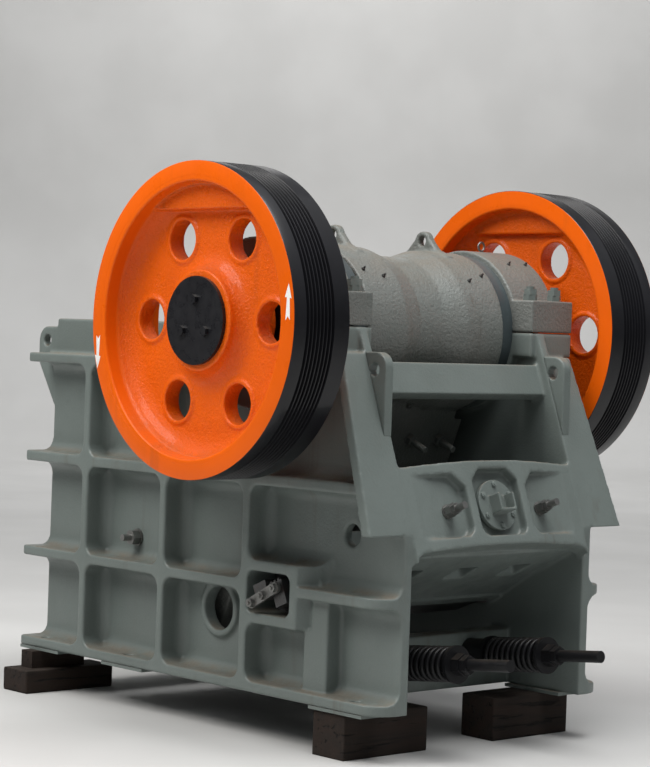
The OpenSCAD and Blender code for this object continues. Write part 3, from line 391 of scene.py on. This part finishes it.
def build_materials():
    """Fills MATERIALS by slot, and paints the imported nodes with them."""
    p = bpy.context.scene.crusher_paints
    build_groups()
    e, pale = p.enamel, p.pale_enamel
    second = [c * k for c, k in zip(e, (0.80, 0.80, 0.79))]
    MATERIALS.update(
        frame_paint=enamel_material("frame_enamel", e, second, 90.0, 1.6, 0.05, 0.0018, 0.40,
                                    1.0, 0.35),
        rough_paint=enamel_material("rough_casting_enamel", pale, second, 75.0, 1.6, 0.2, 0.0065,
                                    0.40, 0.75, 0.5, 0.15),
        # The seal ring's dark blue-grey is partly its own paint and partly painted shade of the recessed gap that
        # it sits in
        ring_paint=plain_paint("seal_ring_enamel_and_painted_shade", (0.045, 0.058, 0.062), 0.35, 240.0, 0.0006),
        painted_bolts=plain_paint("bolt_enamel", [c * 0.85 for c in e], 0.42, 220.0, 0.0008),
        wheel_paint=wheel_material(),
        black_paint=plain_paint("black_enamel", p.black, 0.30, 120.0, 0.0006, 0.2, 0.1, 0.35),
        black_steel=plain_paint("spring_black", (0.006, 0.006, 0.0068), 0.36, 200.0, 0.0006, 0.2,
                                0.03, 0.25),
        white_paint=plain_paint("white_mark", (0.62, 0.62, 0.60), 0.5, 150.0, 0.0003, 0.1),
        manganese_steel=metal_material("manganese_steel", (0.085, 0.083, 0.082), 0.55, 0.65,
                                       80.0, 0.5, 0.002),
        machined_steel=metal_material("machined_steel", (0.10, 0.10, 0.10), 0.38, 0.85, 300.0,
                                      0.25),
        bare_bolts=metal_material("zinc_plate", (0.24, 0.24, 0.23), 0.34, 0.85, 300.0, 0.05),
        timber=timber_material(),
        stage=stage_material(),
    )
    slots = {row["node"]: row["material_slot"] for row in frame["record"]["subparts"]}
    for name, ob in frame["nodes"].items():
        ob.data.materials.clear()
        ob.data.materials.append(MATERIALS[slots[name]])


# Mesh helpers

def linked(name, mesh, slot, body, *nodes):
    """Puts a finished mesh in the scene as a piece, with the paint of its slot and on its body."""
    ob = bpy.data.objects.new(name, mesh)
    bpy.context.scene.collection.objects.link(ob)
    mesh.materials.clear()
    mesh.materials.append(MATERIALS[slot])
    for face in mesh.polygons:
        face.material_index = 0
    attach(ob, body)
    if nodes:
        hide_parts(*nodes)


def smooth_by_angle(mesh, degrees):
    """Shades the mesh smooth, with edges over the angle kept crisp."""
    mesh.shade_smooth()
    mesh.set_sharp_from_angle(angle=math.radians(degrees))


def evaluated(ob):
    """The mesh of ob with its modifiers applied. The object itself is removed."""
    ob.update_tag()
    deps = bpy.context.evaluated_depsgraph_get()
    mesh = bpy.data.meshes.new_from_object(ob.evaluated_get(deps), depsgraph=deps)
    old = ob.data
    bpy.data.objects.remove(ob)
    if old.users == 0:
        bpy.data.meshes.remove(old)
    return mesh


def scratch(mesh):
    """An object to put modifiers on, which evaluated() removes."""
    ob = bpy.data.objects.new("scratch", mesh)
    bpy.context.scene.collection.objects.link(ob)
    return ob


def mesh_of(bm, name):
    """The mesh that bm holds. bm is freed."""
    mesh = bpy.data.meshes.new(name)
    bm.to_mesh(mesh)
    bm.free()
    return mesh


def closed_mesh_of(bm, name):
    """The mesh that bm holds, with its faces outwards. bm is freed."""
    bmesh.ops.recalc_face_normals(bm, faces=bm.faces)
    return mesh_of(bm, name)


def lofted(loops, name):
    """A mesh round closed loops of points, the last joined to the first."""
    bm = bmesh.new()
    rings = [[bm.verts.new(point) for point in loop] for loop in loops]
    for p, q in zip(rings, rings[1:] + rings[:1]):
        for j in range(len(p)):
            k = (j + 1) % len(p)
            bm.faces.new((p[j], p[k], q[k], q[j]))
    return closed_mesh_of(bm, name)


def turns(steps):
    """The angles of a full turn."""
    return [2 * math.pi * i / steps for i in range(steps)]


def spun(profile, steps):
    """A mesh turned from (radius, y) points round the shaft."""
    return lofted([[(SHAFT.x + r * math.cos(a), y, SHAFT.z + r * math.sin(a))
                    for r, y in profile] for a in turns(steps)], "spun")


def ring(middle, normal, radius, wire, steps=32, sides=10):
    """A round ring of wire about an axis."""
    turn = Vector((0, 0, 1)).rotation_difference(Vector(normal)).to_matrix()
    return lofted([[middle + turn @ Vector(((radius + wire * math.cos(b)) * math.cos(a),
                                            (radius + wire * math.cos(b)) * math.sin(a),
                                            wire * math.sin(b)))
                    for b in turns(sides)] for a in turns(steps)], "ring")


def prism(outline, y0, y1):
    """A slab between y0 and y1 from an outline of (x, z) points in the drawing's millimetres."""
    bm = bmesh.new()
    low = [bm.verts.new(at(x, y0, z)) for x, z in outline]
    high = [bm.verts.new(at(x, y1, z)) for x, z in outline]
    n = len(outline)
    bm.faces.new(low)
    bm.faces.new(reversed(high))
    for i in range(n):
        bm.faces.new((low[i], high[i], high[(i + 1) % n], low[(i + 1) % n]))
    return closed_mesh_of(bm, "prism")


def joined(*meshes):
    """One new mesh of several."""
    bm = bmesh.new()
    for mesh in meshes:
        bm.from_mesh(mesh)
    return mesh_of(bm, "joined")


def less(mesh, cutter):
    """The mesh with the cutter taken from it."""
    ob, tool = scratch(mesh), scratch(cutter)
    cut = ob.modifiers.new("cut", "BOOLEAN")
    cut.operation = "DIFFERENCE"
    cut.solver = "EXACT"
    cut.object = tool
    made = evaluated(ob)
    bpy.data.objects.remove(tool)
    return made


def mirrored(mesh):
    """A copy on the other side of the middle plane, with its faces outwards."""
    bm = bmesh.new()
    bm.from_mesh(mesh)
    bmesh.ops.scale(bm, vec=(1, -1, 1), verts=bm.verts)
    bmesh.ops.reverse_faces(bm, faces=bm.faces)
    made = mesh_of(bm, "mirrored")
    made.shade_smooth()
    return made


def half_of(mesh):
    """The part of a mesh at y below 0, closed by flat faces on the middle plane."""
    bm = bmesh.new()
    bm.from_mesh(mesh)
    bmesh.ops.bisect_plane(bm, geom=bm.verts[:] + bm.edges[:] + bm.faces[:], dist=1e-6,
                           plane_co=(0, 0, 0), plane_no=(0, 1, 0), clear_outer=True)
    bmesh.ops.holes_fill(bm, edges=[e for e in bm.edges if e.is_boundary], sides=0)
    bmesh.ops.triangulate(bm, faces=[f for f in bm.faces if len(f.verts) > 4])
    bm.to_mesh(mesh)
    bm.free()
    return mesh


def node_copy(*names):
    """CAD nodes' meshes in one new mesh, with their doubled corners merged."""
    bm = bmesh.new()
    for name in names:
        bm.from_mesh(frame["nodes"][name].data)
    bmesh.ops.remove_doubles(bm, verts=bm.verts, dist=1e-6)
    return mesh_of(bm, "copy")


def as_cast(mesh, voxel, passes, triangles):
    """The mesh with edges and corners rounded as sand casting leaves them."""
    ob = scratch(mesh)
    skin = ob.modifiers.new("skin", "REMESH")
    skin.mode = "VOXEL"
    skin.voxel_size = voxel
    skin.adaptivity = 0
    soft = ob.modifiers.new("fillets", "SMOOTH")
    soft.factor = 0.5
    soft.iterations = passes
    dense = evaluated(ob)
    faces = sum(len(p.vertices) - 2 for p in dense.polygons)
    if faces > triangles:
        ob = scratch(dense)
        thin = ob.modifiers.new("thin", "DECIMATE")
        thin.ratio = triangles / faces
        dense = evaluated(ob)
    dense.shade_smooth()
    return dense


def geometry_tree(name, values, fill):
    """Geometry nodes with named values and a material, whose shape fill(tree, ins) returns."""
    tree = bpy.data.node_groups.new(name, "GeometryNodeTree")
    sockets = [("Geometry", GEOMETRY), *((key, VALUE) for key in values),
               ("Material", "NodeSocketMaterial")]
    for key, kind in sockets:
        tree.interface.new_socket(key, in_out="INPUT", socket_type=kind)
    tree.interface.new_socket("Geometry", in_out="OUTPUT", socket_type=GEOMETRY)
    inside, outs = tree.nodes.new("NodeGroupInput"), tree.nodes.new("NodeGroupOutput")
    ins = {s.name: s for s in inside.outputs}
    real = put(tree, "GeometryNodeRealizeInstances", {0: fill(tree, ins)})
    painted = put(tree, "GeometryNodeSetMaterial",
                  {"Geometry": real.outputs[0], "Material": ins["Material"]})
    tree.links.new(painted.outputs[0], outs.inputs[0])
    return tree


def by_nodes(mesh, tree, slot, sizes):
    """The mesh that the geometry nodes make of a mesh, with their named sizes and paint set."""
    ob = scratch(mesh)
    mod = ob.modifiers.new("nodes", "NODES")
    mod.node_group = tree
    names = {i.name: i.identifier for i in tree.interface.items_tree if i.in_out == "INPUT"}
    for key, value in {**sizes, "Material": MATERIALS[slot]}.items():
        mod[names[key.replace("_", " ")]] = value
    return evaluated(ob)


# The operators

class CRUSHER_OT_paints(Operator):
    """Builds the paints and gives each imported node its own"""
    bl_idname = "crusher.paints"
    bl_label = "Paints"

    def execute(self, context):
        build_materials()
        return {"FINISHED"}


# The camera as solved from the photograph, and the picture's long side
YAW, PITCH, ROLL = (math.radians(a) for a in (47.814, -1.195, 1.934))
CAMERA_PLACE = (7.624, -6.916, 1.706)
SENSOR, FOCAL_PX, LONG_SIDE_PX = 36, 2292.9, 767


def make_camera(scene):
    """Makes the scene's camera and returns the level direction that it looks in."""
    ahead = Vector((-math.sin(YAW) * math.cos(PITCH), math.cos(YAW) * math.cos(PITCH),
                    math.sin(PITCH)))
    right = Vector((math.cos(YAW), math.sin(YAW), 0))
    up = right.cross(ahead)
    across = right * math.cos(ROLL) + up * math.sin(ROLL)
    upright = up * math.cos(ROLL) - right * math.sin(ROLL)
    data = bpy.data.cameras.new("camera")
    data.sensor_width = SENSOR
    data.lens = SENSOR * FOCAL_PX / LONG_SIDE_PX
    data.clip_end = 200
    camera = bpy.data.objects.new("camera", data)
    scene.collection.objects.link(camera)
    turn = Matrix((across, upright, -ahead)).transposed().to_4x4()
    camera.matrix_world = Matrix.Translation(CAMERA_PLACE) @ turn
    scene.camera = camera
    return Vector((ahead.x, ahead.y, 0)).normalized()


def make_floor(scene, backward):
    """Makes a floor that curves up into a wall, beyond where a camera on the far side stands."""
    sweep, far, wide, tall, steps = 4.0, 19.0, 60.0, 30.0, 12
    line = [(-wide, 0.0), (far, 0.0)]
    line += [(far + sweep * math.sin(a), sweep - sweep * math.cos(a))
             for a in (math.pi / 2 / steps * i for i in range(1, steps + 1))]
    line.append((far + sweep, tall))
    side = Vector((backward.y, -backward.x, 0))
    bm = bmesh.new()
    rows = [[bm.verts.new(backward * d + side * s + Vector((0, 0, z))) for d, z in line]
            for s in (-wide, wide)]
    for i in range(len(line) - 1):
        bm.faces.new((rows[0][i], rows[1][i], rows[1][i + 1], rows[0][i + 1]))
    mesh = closed_mesh_of(bm, "floor")
    mesh.shade_smooth()
    mesh.materials.append(MATERIALS["stage"])
    floor = bpy.data.objects.new("floor", mesh)
    scene.collection.objects.link(floor)


def make_light(scene, backward):
    """Makes a sky that brightens upwards, and three soft lamps, one of them for the wall."""
    scene.world = bpy.data.worlds.new("studio")
    scene.world.use_nodes = True
    sky = scene.world.node_tree
    shader = sky.nodes["Background"].inputs
    shader[0].default_value = (0.95, 0.97, 1.0, 1)
    where = put(sky, "ShaderNodeTexCoord").outputs["Generated"]
    height = put(sky, "ShaderNodeSeparateXYZ", {0: where}).outputs[2]
    sky.links.new(ramp(sky, height, 0.0, 0.8, 0.06, 0.5), shader[1])
    scene.view_settings.view_transform = "Standard"
    middle = Vector((0, 0, 1.0))
    for name, place, aim, size, power, tint in (
            ("key", (-2.0, -6.5, 8.5), middle, 6.0, 860, (1.0, 0.985, 0.96)),
            ("top", (2.6, -0.5, 8.5), middle, 5.0, 620, (1.0, 1.0, 1.0)),
            ("backdrop", backward * 16 + Vector((0, 0, 13)), backward * 23 + Vector((0, 0, 3)),
             8.0, 1250, (1.0, 1.0, 1.0))):
        lamp = bpy.data.lights.new(name, "AREA")
        lamp.size = size
        lamp.energy = power
        lamp.color = tint
        ob = bpy.data.objects.new(name, lamp)
        ob.location = place
        ob.rotation_mode = "QUATERNION"
        ob.rotation_quaternion = (aim - Vector(place)).to_track_quat("-Z", "Y")
        scene.collection.objects.link(ob)


class CRUSHER_OT_stage(Operator):
    """Makes the camera, the pale floor and the soft studio light"""
    bl_idname = "crusher.stage"
    bl_label = "Stage"

    def execute(self, context):
        backward = make_camera(context.scene)
        make_floor(context.scene, backward)
        make_light(context.scene, backward)
        return {"FINISHED"}


# The frame's nodes that cross the middle plane, cast in one with the side plates
SHARED = ("front_wall", "rear_wall", "toggle_abutment", "spring_beam", "rear_cross_bar",
          "front_lugs")
# Each casting's piece, nodes, slot, body, cell against the frame's, rounding and most triangles
CASTINGS = (
    ("jaw_casting", ("swing_jaw", "jaw_lugs"), "rough_paint", "jaw", 0.95, 7, 130000),
    ("fixed_jaw_plate_cast", ("fixed_jaw_plate",), "manganese_steel", "frame", 1.0, 5, 26000),
    ("swing_jaw_plate_cast", ("swing_jaw_plate",), "manganese_steel", "jaw", 1.0, 5, 26000),
    ("rear_lug_plates", ("rear_lugs",), "frame_paint", "frame", 0.6, 3, 60000),
    ("panel_cover_cast", ("panel_cover",), "frame_paint", "frame", 0.4, 3, 20000),
    ("rear_sleepers", ("rear_blocks",), "timber", "frame", 0.9, 5, 14000),
    ("feed_sleepers", ("feed_blocks_lower",), "timber", "frame", 0.9, 5, 14000),
)
FRAME_TRIANGLES, CAP_TRIANGLES, DISH_TRIANGLES = 205000, 40000, 130000


class CRUSHER_OT_castings(Operator):
    """Rounds the cast frame, caps, jaw, jaw plates and blocks"""
    bl_idname = "crusher.castings"
    bl_label = "Castings"

    def execute(self, context):
        s = context.scene.crusher_sizes
        v = s.voxel
        near = half_of(as_cast(node_copy("frame_side_left", *SHARED), v, s.rounding,
                               FRAME_TRIANGLES))
        smooth_by_angle(near, CAST_EDGE)
        far = mirrored(near)
        smooth_by_angle(far, CAST_EDGE)
        linked("frame_casting_left", near, "frame_paint", "frame", "frame_side_left", *SHARED)
        linked("frame_casting_right", far, "frame_paint", "frame", "frame_side_right", *SHARED)
        for name, nodes, slot, body, grain, passes, most in CASTINGS:
            linked(name, as_cast(node_copy(*nodes), v * grain, passes, most), slot, body, *nodes)
        cap = as_cast(node_copy("bearing_cap_left"), v * 0.7, 5, CAP_TRIANGLES)
        other = mirrored(cap)
        linked("bearing_cap_left_cast", cap, "rough_paint", "frame", "bearing_cap_left")
        linked("bearing_cap_right_cast", other, "rough_paint", "frame", "bearing_cap_right")
        return {"FINISHED"}


# Flywheels

def cove(web, hub, steps=6):
    """Points of the hollow curve between the web and the hub, from the web inwards."""
    return [(HUB_R + COVE * (1 - math.sin(a)), web + (hub - web) * (1 - math.cos(a)))
            for a in (math.pi / 2 * i / steps for i in range(steps + 1))]


def dish_profile():
    """The dished wheel's section, from its bore at the inner face round to its outer side."""
    inner_side = [(BORE_R, INNER), (HUB_R, INNER), *reversed(cove(WEB_IN, HUB_IN)),
                  (0.490, WEB_IN), (0.560, 0.845), (DISH_R, INNER), (RIM_LAP_R, INNER)]
    outer_side = [(RIM_LAP_R, FACE), (DISH_R, FACE), (0.561, 1.020), (0.547, 0.997),
                  (0.527, 0.980), (0.500, 0.968), (0.470, WEB_OUT), *cove(WEB_OUT, HUB_OUT),
                  (BORE_R, HUB_OUT)]
    return inner_side + outer_side


def rim_profile(face, inner):
    """The rim from its inner corner round its grooved outside to its face."""
    grooves, pitch, depth, bore, edge = 8, 0.019, 0.0135, 0.585, 0.590
    line = [(bore, inner), (RIM_R - 0.003, inner), (RIM_R, inner + 0.003)]
    for i in range(grooves):
        y = inner + 0.0797 + i * pitch
        line += [(RIM_R, y + 0.0022), (RIM_R - depth, y + 0.0066), (RIM_R - depth, y + 0.0124),
                 (RIM_R, y + 0.0168)]
    return line + [(RIM_R, face - 0.004), (RIM_R - 0.0012, face - 0.001), (RIM_R - 0.004, face),
                   (edge, face), (bore, face - 0.01)]


def web_hole(degrees, y0, y1, steps=48):
    """The cutter of one round hole in the web."""
    a = math.radians(degrees)
    bm = bmesh.new()
    place = Matrix.Translation((SHAFT.x + HOLE_RING * math.cos(a), (y0 + y1) / 2,
                                SHAFT.z + HOLE_RING * math.sin(a)))
    bmesh.ops.create_cone(bm, cap_ends=True, segments=steps, radius1=HOLE_R, radius2=HOLE_R,
                          depth=y1 - y0, matrix=place @ Matrix.Rotation(math.pi / 2, 4, "X"))
    return mesh_of(bm, "hole")


def hole_lip(degrees, width, y0, y1, steps=48):
    """A round collar that lines a web hole and stands a little proud of it."""
    a = math.radians(degrees)
    middle = Vector((SHAFT.x + HOLE_RING * math.cos(a), 0, SHAFT.z + HOLE_RING * math.sin(a)))
    section = ((HOLE_R, y0), (HOLE_R + width, y0), (HOLE_R + width, y1), (HOLE_R, y1))
    return lofted([[middle + Vector((math.cos(b), 0, math.sin(b))) * k + Vector((0, y, 0))
                    for k, y in section] for b in turns(steps)], "lip")


def segment(y0, y1, steps=40):
    """The counterweight: the part of a disc above a level chord over the shaft."""
    a0 = math.asin(WEIGHT_CHORD / WEIGHT_R)
    outline = [(1000 * WEIGHT_R * math.cos(a), 1000 * WEIGHT_R * math.sin(a) + SHAFT_Z)
               for a in (a0 + (math.pi - 2 * a0) * i / steps for i in range(steps + 1))]
    return prism(outline, y0 * 1000, y1 * 1000)


# The turning marks: an arrow's outline, and the places and ways of the two on each rim
ARROW = ((-12, -72), (1, -56), (14, -70), (9, 16), (20, 13), (1, 72), (-19, 18), (-7, 17))
ARROWS = ((611, 82, 1), (-606, -145, -1))


class CRUSHER_OT_flywheels(Operator):
    """Makes the dished flywheels with lipped holes, counterweight, grooves and turning marks"""
    bl_idname = "crusher.flywheels"
    bl_label = "Flywheels"

    def execute(self, context):
        s = context.scene.crusher_sizes
        around = [i * 360 // HOLES for i in range(HOLES)]
        body = spun(dish_profile(), 144)
        for a in around:
            body = less(body, web_hole(a, 0.85, 1.06))
        lips = [hole_lip(a, s.lip, WEB_IN - 0.008, WEB_OUT + 0.009) for a in around]
        weights = [segment(WEB_OUT - 0.01, WEIGHT_OUT), segment(WEIGHT_IN, WEB_IN + 0.01)]
        dish = as_cast(joined(body, *lips, *weights), s.voxel * 0.8, 6, DISH_TRIANGLES)
        rim = spun(rim_profile(FACE + 0.0003, INNER - 0.0005), 240)
        wheel = joined(dish, rim)
        smooth_by_angle(wheel, TURNED_EDGE)
        other = mirrored(wheel)
        smooth_by_angle(other, TURNED_EDGE)
        linked("wheel_right", wheel, "wheel_paint", "rotor", "flywheel_right")
        linked("wheel_left", other, "wheel_paint", "rotor", "flywheel_left")
        marks = []
        for side in SIDES:
            for x, z, way in ARROWS:
                line = [(x + u * way, SHAFT_Z + z + w * way) for u, w in ARROW]
                marks.append(prism(line, *sorted((side * 1079.2, side * 1080))))
        linked("turning_marks", joined(*marks), "white_paint", "rotor")
        return {"FINISHED"}


# Springs

def wound_wire(tree, ins):
    """A spiral of round wire."""
    spiral = put(tree, "GeometryNodeCurveSpiral",
                 {"Resolution": 48, "Rotations": ins["Turns"], "Start Radius": ins["Radius"],
                  "End Radius": ins["Radius"], "Height": ins["Length"]})
    wire = put(tree, "GeometryNodeCurvePrimitiveCircle",
               {"Resolution": 14, "Radius": ins["Wire"]})
    return put(tree, "GeometryNodeCurveToMesh",
               {"Curve": spiral.outputs[0], "Profile Curve": wire.outputs[0],
                "Fill Caps": True}).outputs[0]


class CRUSHER_OT_springs(Operator):
    """Winds the tension rods' springs from round wire with closed ends"""
    bl_idname = "crusher.springs"
    bl_label = "Springs"

    def execute(self, context):
        pin_x = JAW_X - JAW_LENGTH * math.sin(JAW_LEAN) + ROD_PIN_BACK * math.cos(JAW_LEAN)
        pin_z = ROD_END_Z - (ROD_END_X - pin_x) * math.tan(ROD_LEAN)
        rod = (ROD_END_X - pin_x - ROD_R * math.sin(ROD_LEAN)) / math.cos(ROD_LEAN)
        first = rod - NUT_BACK - SPRING_LENGTH
        tree = geometry_tree("wound spring", ("Turns", "Wire", "Radius", "Length"), wound_wire)
        sizes = {"Turns": context.scene.crusher_sizes.spring_turns, "Wire": 0.011,
                 "Radius": 0.064, "Length": 0.277}
        meshes = []
        for side in SIDES:
            mesh = by_nodes(bpy.data.meshes.new("coil"), tree, "black_steel", sizes)
            along = Vector((math.cos(ROD_LEAN), 0, math.sin(ROD_LEAN)))
            place = at(pin_x, side * ROD_Y, pin_z) + along * (first + 11.5) * MM
            mesh.transform(Matrix.Translation(place)
                           @ Matrix.Rotation(math.pi / 2 - ROD_LEAN, 4, "Y"))
            meshes.append(mesh)
        mesh = joined(*meshes)
        mesh.shade_smooth()
        linked("coil_springs", mesh, "black_steel", "frame", "rod_springs")
        return {"FINISHED"}


# Fasteners

def bolt_shape(tree, ins):
    """A collar, a chamfered hexagon and a stem at each point, along the point's own aim."""
    def round_piece(sides, low, top, depth, foot):
        cone = put(tree, "GeometryNodeMeshCone", {"Vertices": sides, "Radius Bottom": low,
                                                  "Radius Top": top, "Depth": depth})
        shift = put(tree, "ShaderNodeCombineXYZ", {2: foot}).outputs[0]
        return put(tree, "GeometryNodeTransform",
                   {"Geometry": cone.outputs[0], "Translation": shift}).outputs[0]

    corner = times(tree, ins["Across"], 0.57735)
    flat = times(tree, ins["Across"], 0.5)
    body = times(tree, ins["Head"], 0.88)
    cap = times(tree, ins["Head"], 0.12)
    reach = sums(tree, "SUBTRACT", ins["Reach"], 0.002)
    thin = times(tree, ins["Stem"], 0.86)
    parts = put(tree, "GeometryNodeJoinGeometry")
    for piece in (round_piece(24, ins["Collar Radius"], ins["Collar Radius"], ins["Collar"], 0.0),
                  round_piece(6, corner, corner, body, 0.0),
                  round_piece(6, corner, flat, cap, body),
                  round_piece(20, ins["Stem"], ins["Stem"], reach, 0.0),
                  round_piece(20, ins["Stem"], thin, 0.002, reach)):
        tree.links.new(piece, parts.inputs[0])
    aim = put(tree, "GeometryNodeInputNamedAttribute", {"Name": "aim"}, data_type="FLOAT_VECTOR")
    turn = put(tree, "FunctionNodeAlignRotationToVector", {"Vector": aim.outputs[0]}, axis="Z")
    return put(tree, "GeometryNodeInstanceOnPoints",
               {"Points": ins["Geometry"], "Instance": parts.outputs[0],
                "Rotation": turn.outputs[0]}).outputs[0]


def bolts(tree, name, slot, body, where, **sizes):
    """Bolts of one size at points of the drawing, each with the direction that it stands in."""
    mesh = bpy.data.meshes.new(name)
    mesh.from_pydata([at(*place) for place, _ in where], [], [])
    aims = mesh.attributes.new("aim", "FLOAT_VECTOR", "POINT")
    for row, (_, aim) in zip(aims.data, where):
        row.vector = aim
    made = by_nodes(mesh, tree, slot, sizes)
    smooth_by_angle(made, BOLT_EDGE)
    linked(name, made, slot, body)


def on_panel(along, y, up):
    """A point on the leaning rear wall: out of its plane, across it and up its slope."""
    a = PANEL_LEAN
    return (666.2 + along * math.cos(a) - up * math.sin(a), y,
            987 + along * math.sin(a) + up * math.cos(a))


def round_shaft(radius, z, rows):
    """Points on both sides at (y, angle) on a drum about the shaft, aimed straight out."""
    return [((radius * math.cos(a), side * y, z + radius * math.sin(a)),
             (math.cos(a), 0, math.sin(a)))
            for side in SIDES for y, a in ((y, math.radians(degrees)) for y, degrees in rows)]


class CRUSHER_OT_fasteners(Operator):
    """Adds cover bolts, keeper bolts, jaw bolts, grease plugs and eyebolts"""
    bl_idname = "crusher.fasteners"
    bl_label = "Fasteners"

    def execute(self, context):
        tree = geometry_tree("fasteners", ("Across", "Head", "Collar", "Collar Radius", "Stem",
                                           "Reach"), bolt_shape)
        out = (math.cos(PANEL_LEAN), 0, math.sin(PANEL_LEAN))
        cover = [(on_panel(12, 88 * math.cos(a), -172.5 + 88 * math.sin(a)), out)
                 for a in (math.radians(90 + 60 * i) for i in range(6))]
        bolts(tree, "cover_bolts", "painted_bolts", "frame", cover, Across=0.022, Head=0.010,
              Collar=0.002, Collar_Radius=0.014, Stem=0.006, Reach=0.0125)
        slope = math.radians(28.5)
        keeper = [((76.8 + u * math.cos(slope), side * 698.5, 418.8 + u * math.sin(slope)),
                   (0, side, 0)) for side in SIDES for u in (-80, 0, 80)]
        bolts(tree, "keeper_bolts", "bare_bolts", "frame", keeper, Across=0.034, Head=0.018,
              Collar=0.003, Collar_Radius=0.021, Stem=0.009, Reach=0.026)
        back = (math.cos(JAW_LEAN), 0, -math.sin(JAW_LEAN))
        jaw = [((36, side * y, 1061), back) for side in SIDES for y in (161, 336)]
        bolts(tree, "jaw_bolts", "rough_paint", "jaw", jaw, Across=0.050, Head=0.030,
              Collar=0.005, Collar_Radius=0.030, Stem=0.015, Reach=0.110)
        small = [((97, side * 92, 1212), back) for side in SIDES]
        bolts(tree, "jaw_small_bolts", "rough_paint", "jaw", small, Across=0.024, Head=0.014,
              Collar=0.003, Collar_Radius=0.016, Stem=0.006, Reach=0.020)
        plug = {"Across": 0.013, "Head": 0.007, "Collar": 0.002, "Collar_Radius": 0.009,
                "Stem": 0.0045, "Reach": 0.017}
        plugs = round_shaft(357, SHAFT_Z - THROW, ((258, 39.5), (355, 44.8)))
        bolts(tree, "jaw_grease_plugs", "machined_steel", "jaw", plugs, **plug)
        drums = round_shaft(359, SHAFT_Z, ((589, 57.0), (700, 57.5)))
        bolts(tree, "cap_grease_plugs", "machined_steel", "frame", drums, **plug)
        feet = [((2, side * 610, 1908), (0, 0, 1)) for side in SIDES]
        bolts(tree, "eyebolt_feet", "bare_bolts", "frame", feet, Across=0.018, Head=0.004,
              Collar=0.003, Collar_Radius=0.013, Stem=0.006, Reach=0.009)
        eyes = joined(*(ring(at(2, side * 610, 1934), (1, 0, 0), 0.019, 0.0048)
                        for side in SIDES))
        eyes.shade_smooth()
        linked("eyebolt_rings", eyes, "bare_bolts", "frame")
        return {"FINISHED"}


class CRUSHER_PT_panel(Panel):
    """Shows the crusher's sizes and paints, and the steps that build its pieces"""
    bl_label = "Crusher"
    bl_idname = "CRUSHER_PT_panel"
    bl_space_type = "VIEW_3D"
    bl_region_type = "UI"
    bl_category = "Crusher"

    def draw(self, context):
        for settings in (context.scene.crusher_paints, context.scene.crusher_sizes):
            for key in settings.bl_rna.properties.keys():
                if key not in {"rna_type", "name"}:
                    self.layout.prop(settings, key)
        for step in STEPS:
            self.layout.operator(step.bl_idname)


STEPS = (CRUSHER_OT_paints, CRUSHER_OT_stage, CRUSHER_OT_castings, CRUSHER_OT_flywheels,
         CRUSHER_OT_springs, CRUSHER_OT_fasteners)
CLASSES = (CRUSHER_PG_paints, CRUSHER_PG_sizes, *STEPS, CRUSHER_PT_panel)


def register():
    for made in CLASSES:
        bpy.utils.register_class(made)
    bpy.types.Scene.crusher_paints = PointerProperty(type=CRUSHER_PG_paints)
    bpy.types.Scene.crusher_sizes = PointerProperty(type=CRUSHER_PG_sizes)


def unregister():
    del bpy.types.Scene.crusher_paints
    del bpy.types.Scene.crusher_sizes
    for made in reversed(CLASSES):
        bpy.utils.unregister_class(made)


def main():
    register()
    for step in STEPS:
        getattr(bpy.ops.crusher, step.bl_idname.split(".")[1])()


if __name__ == "__main__":
    main()
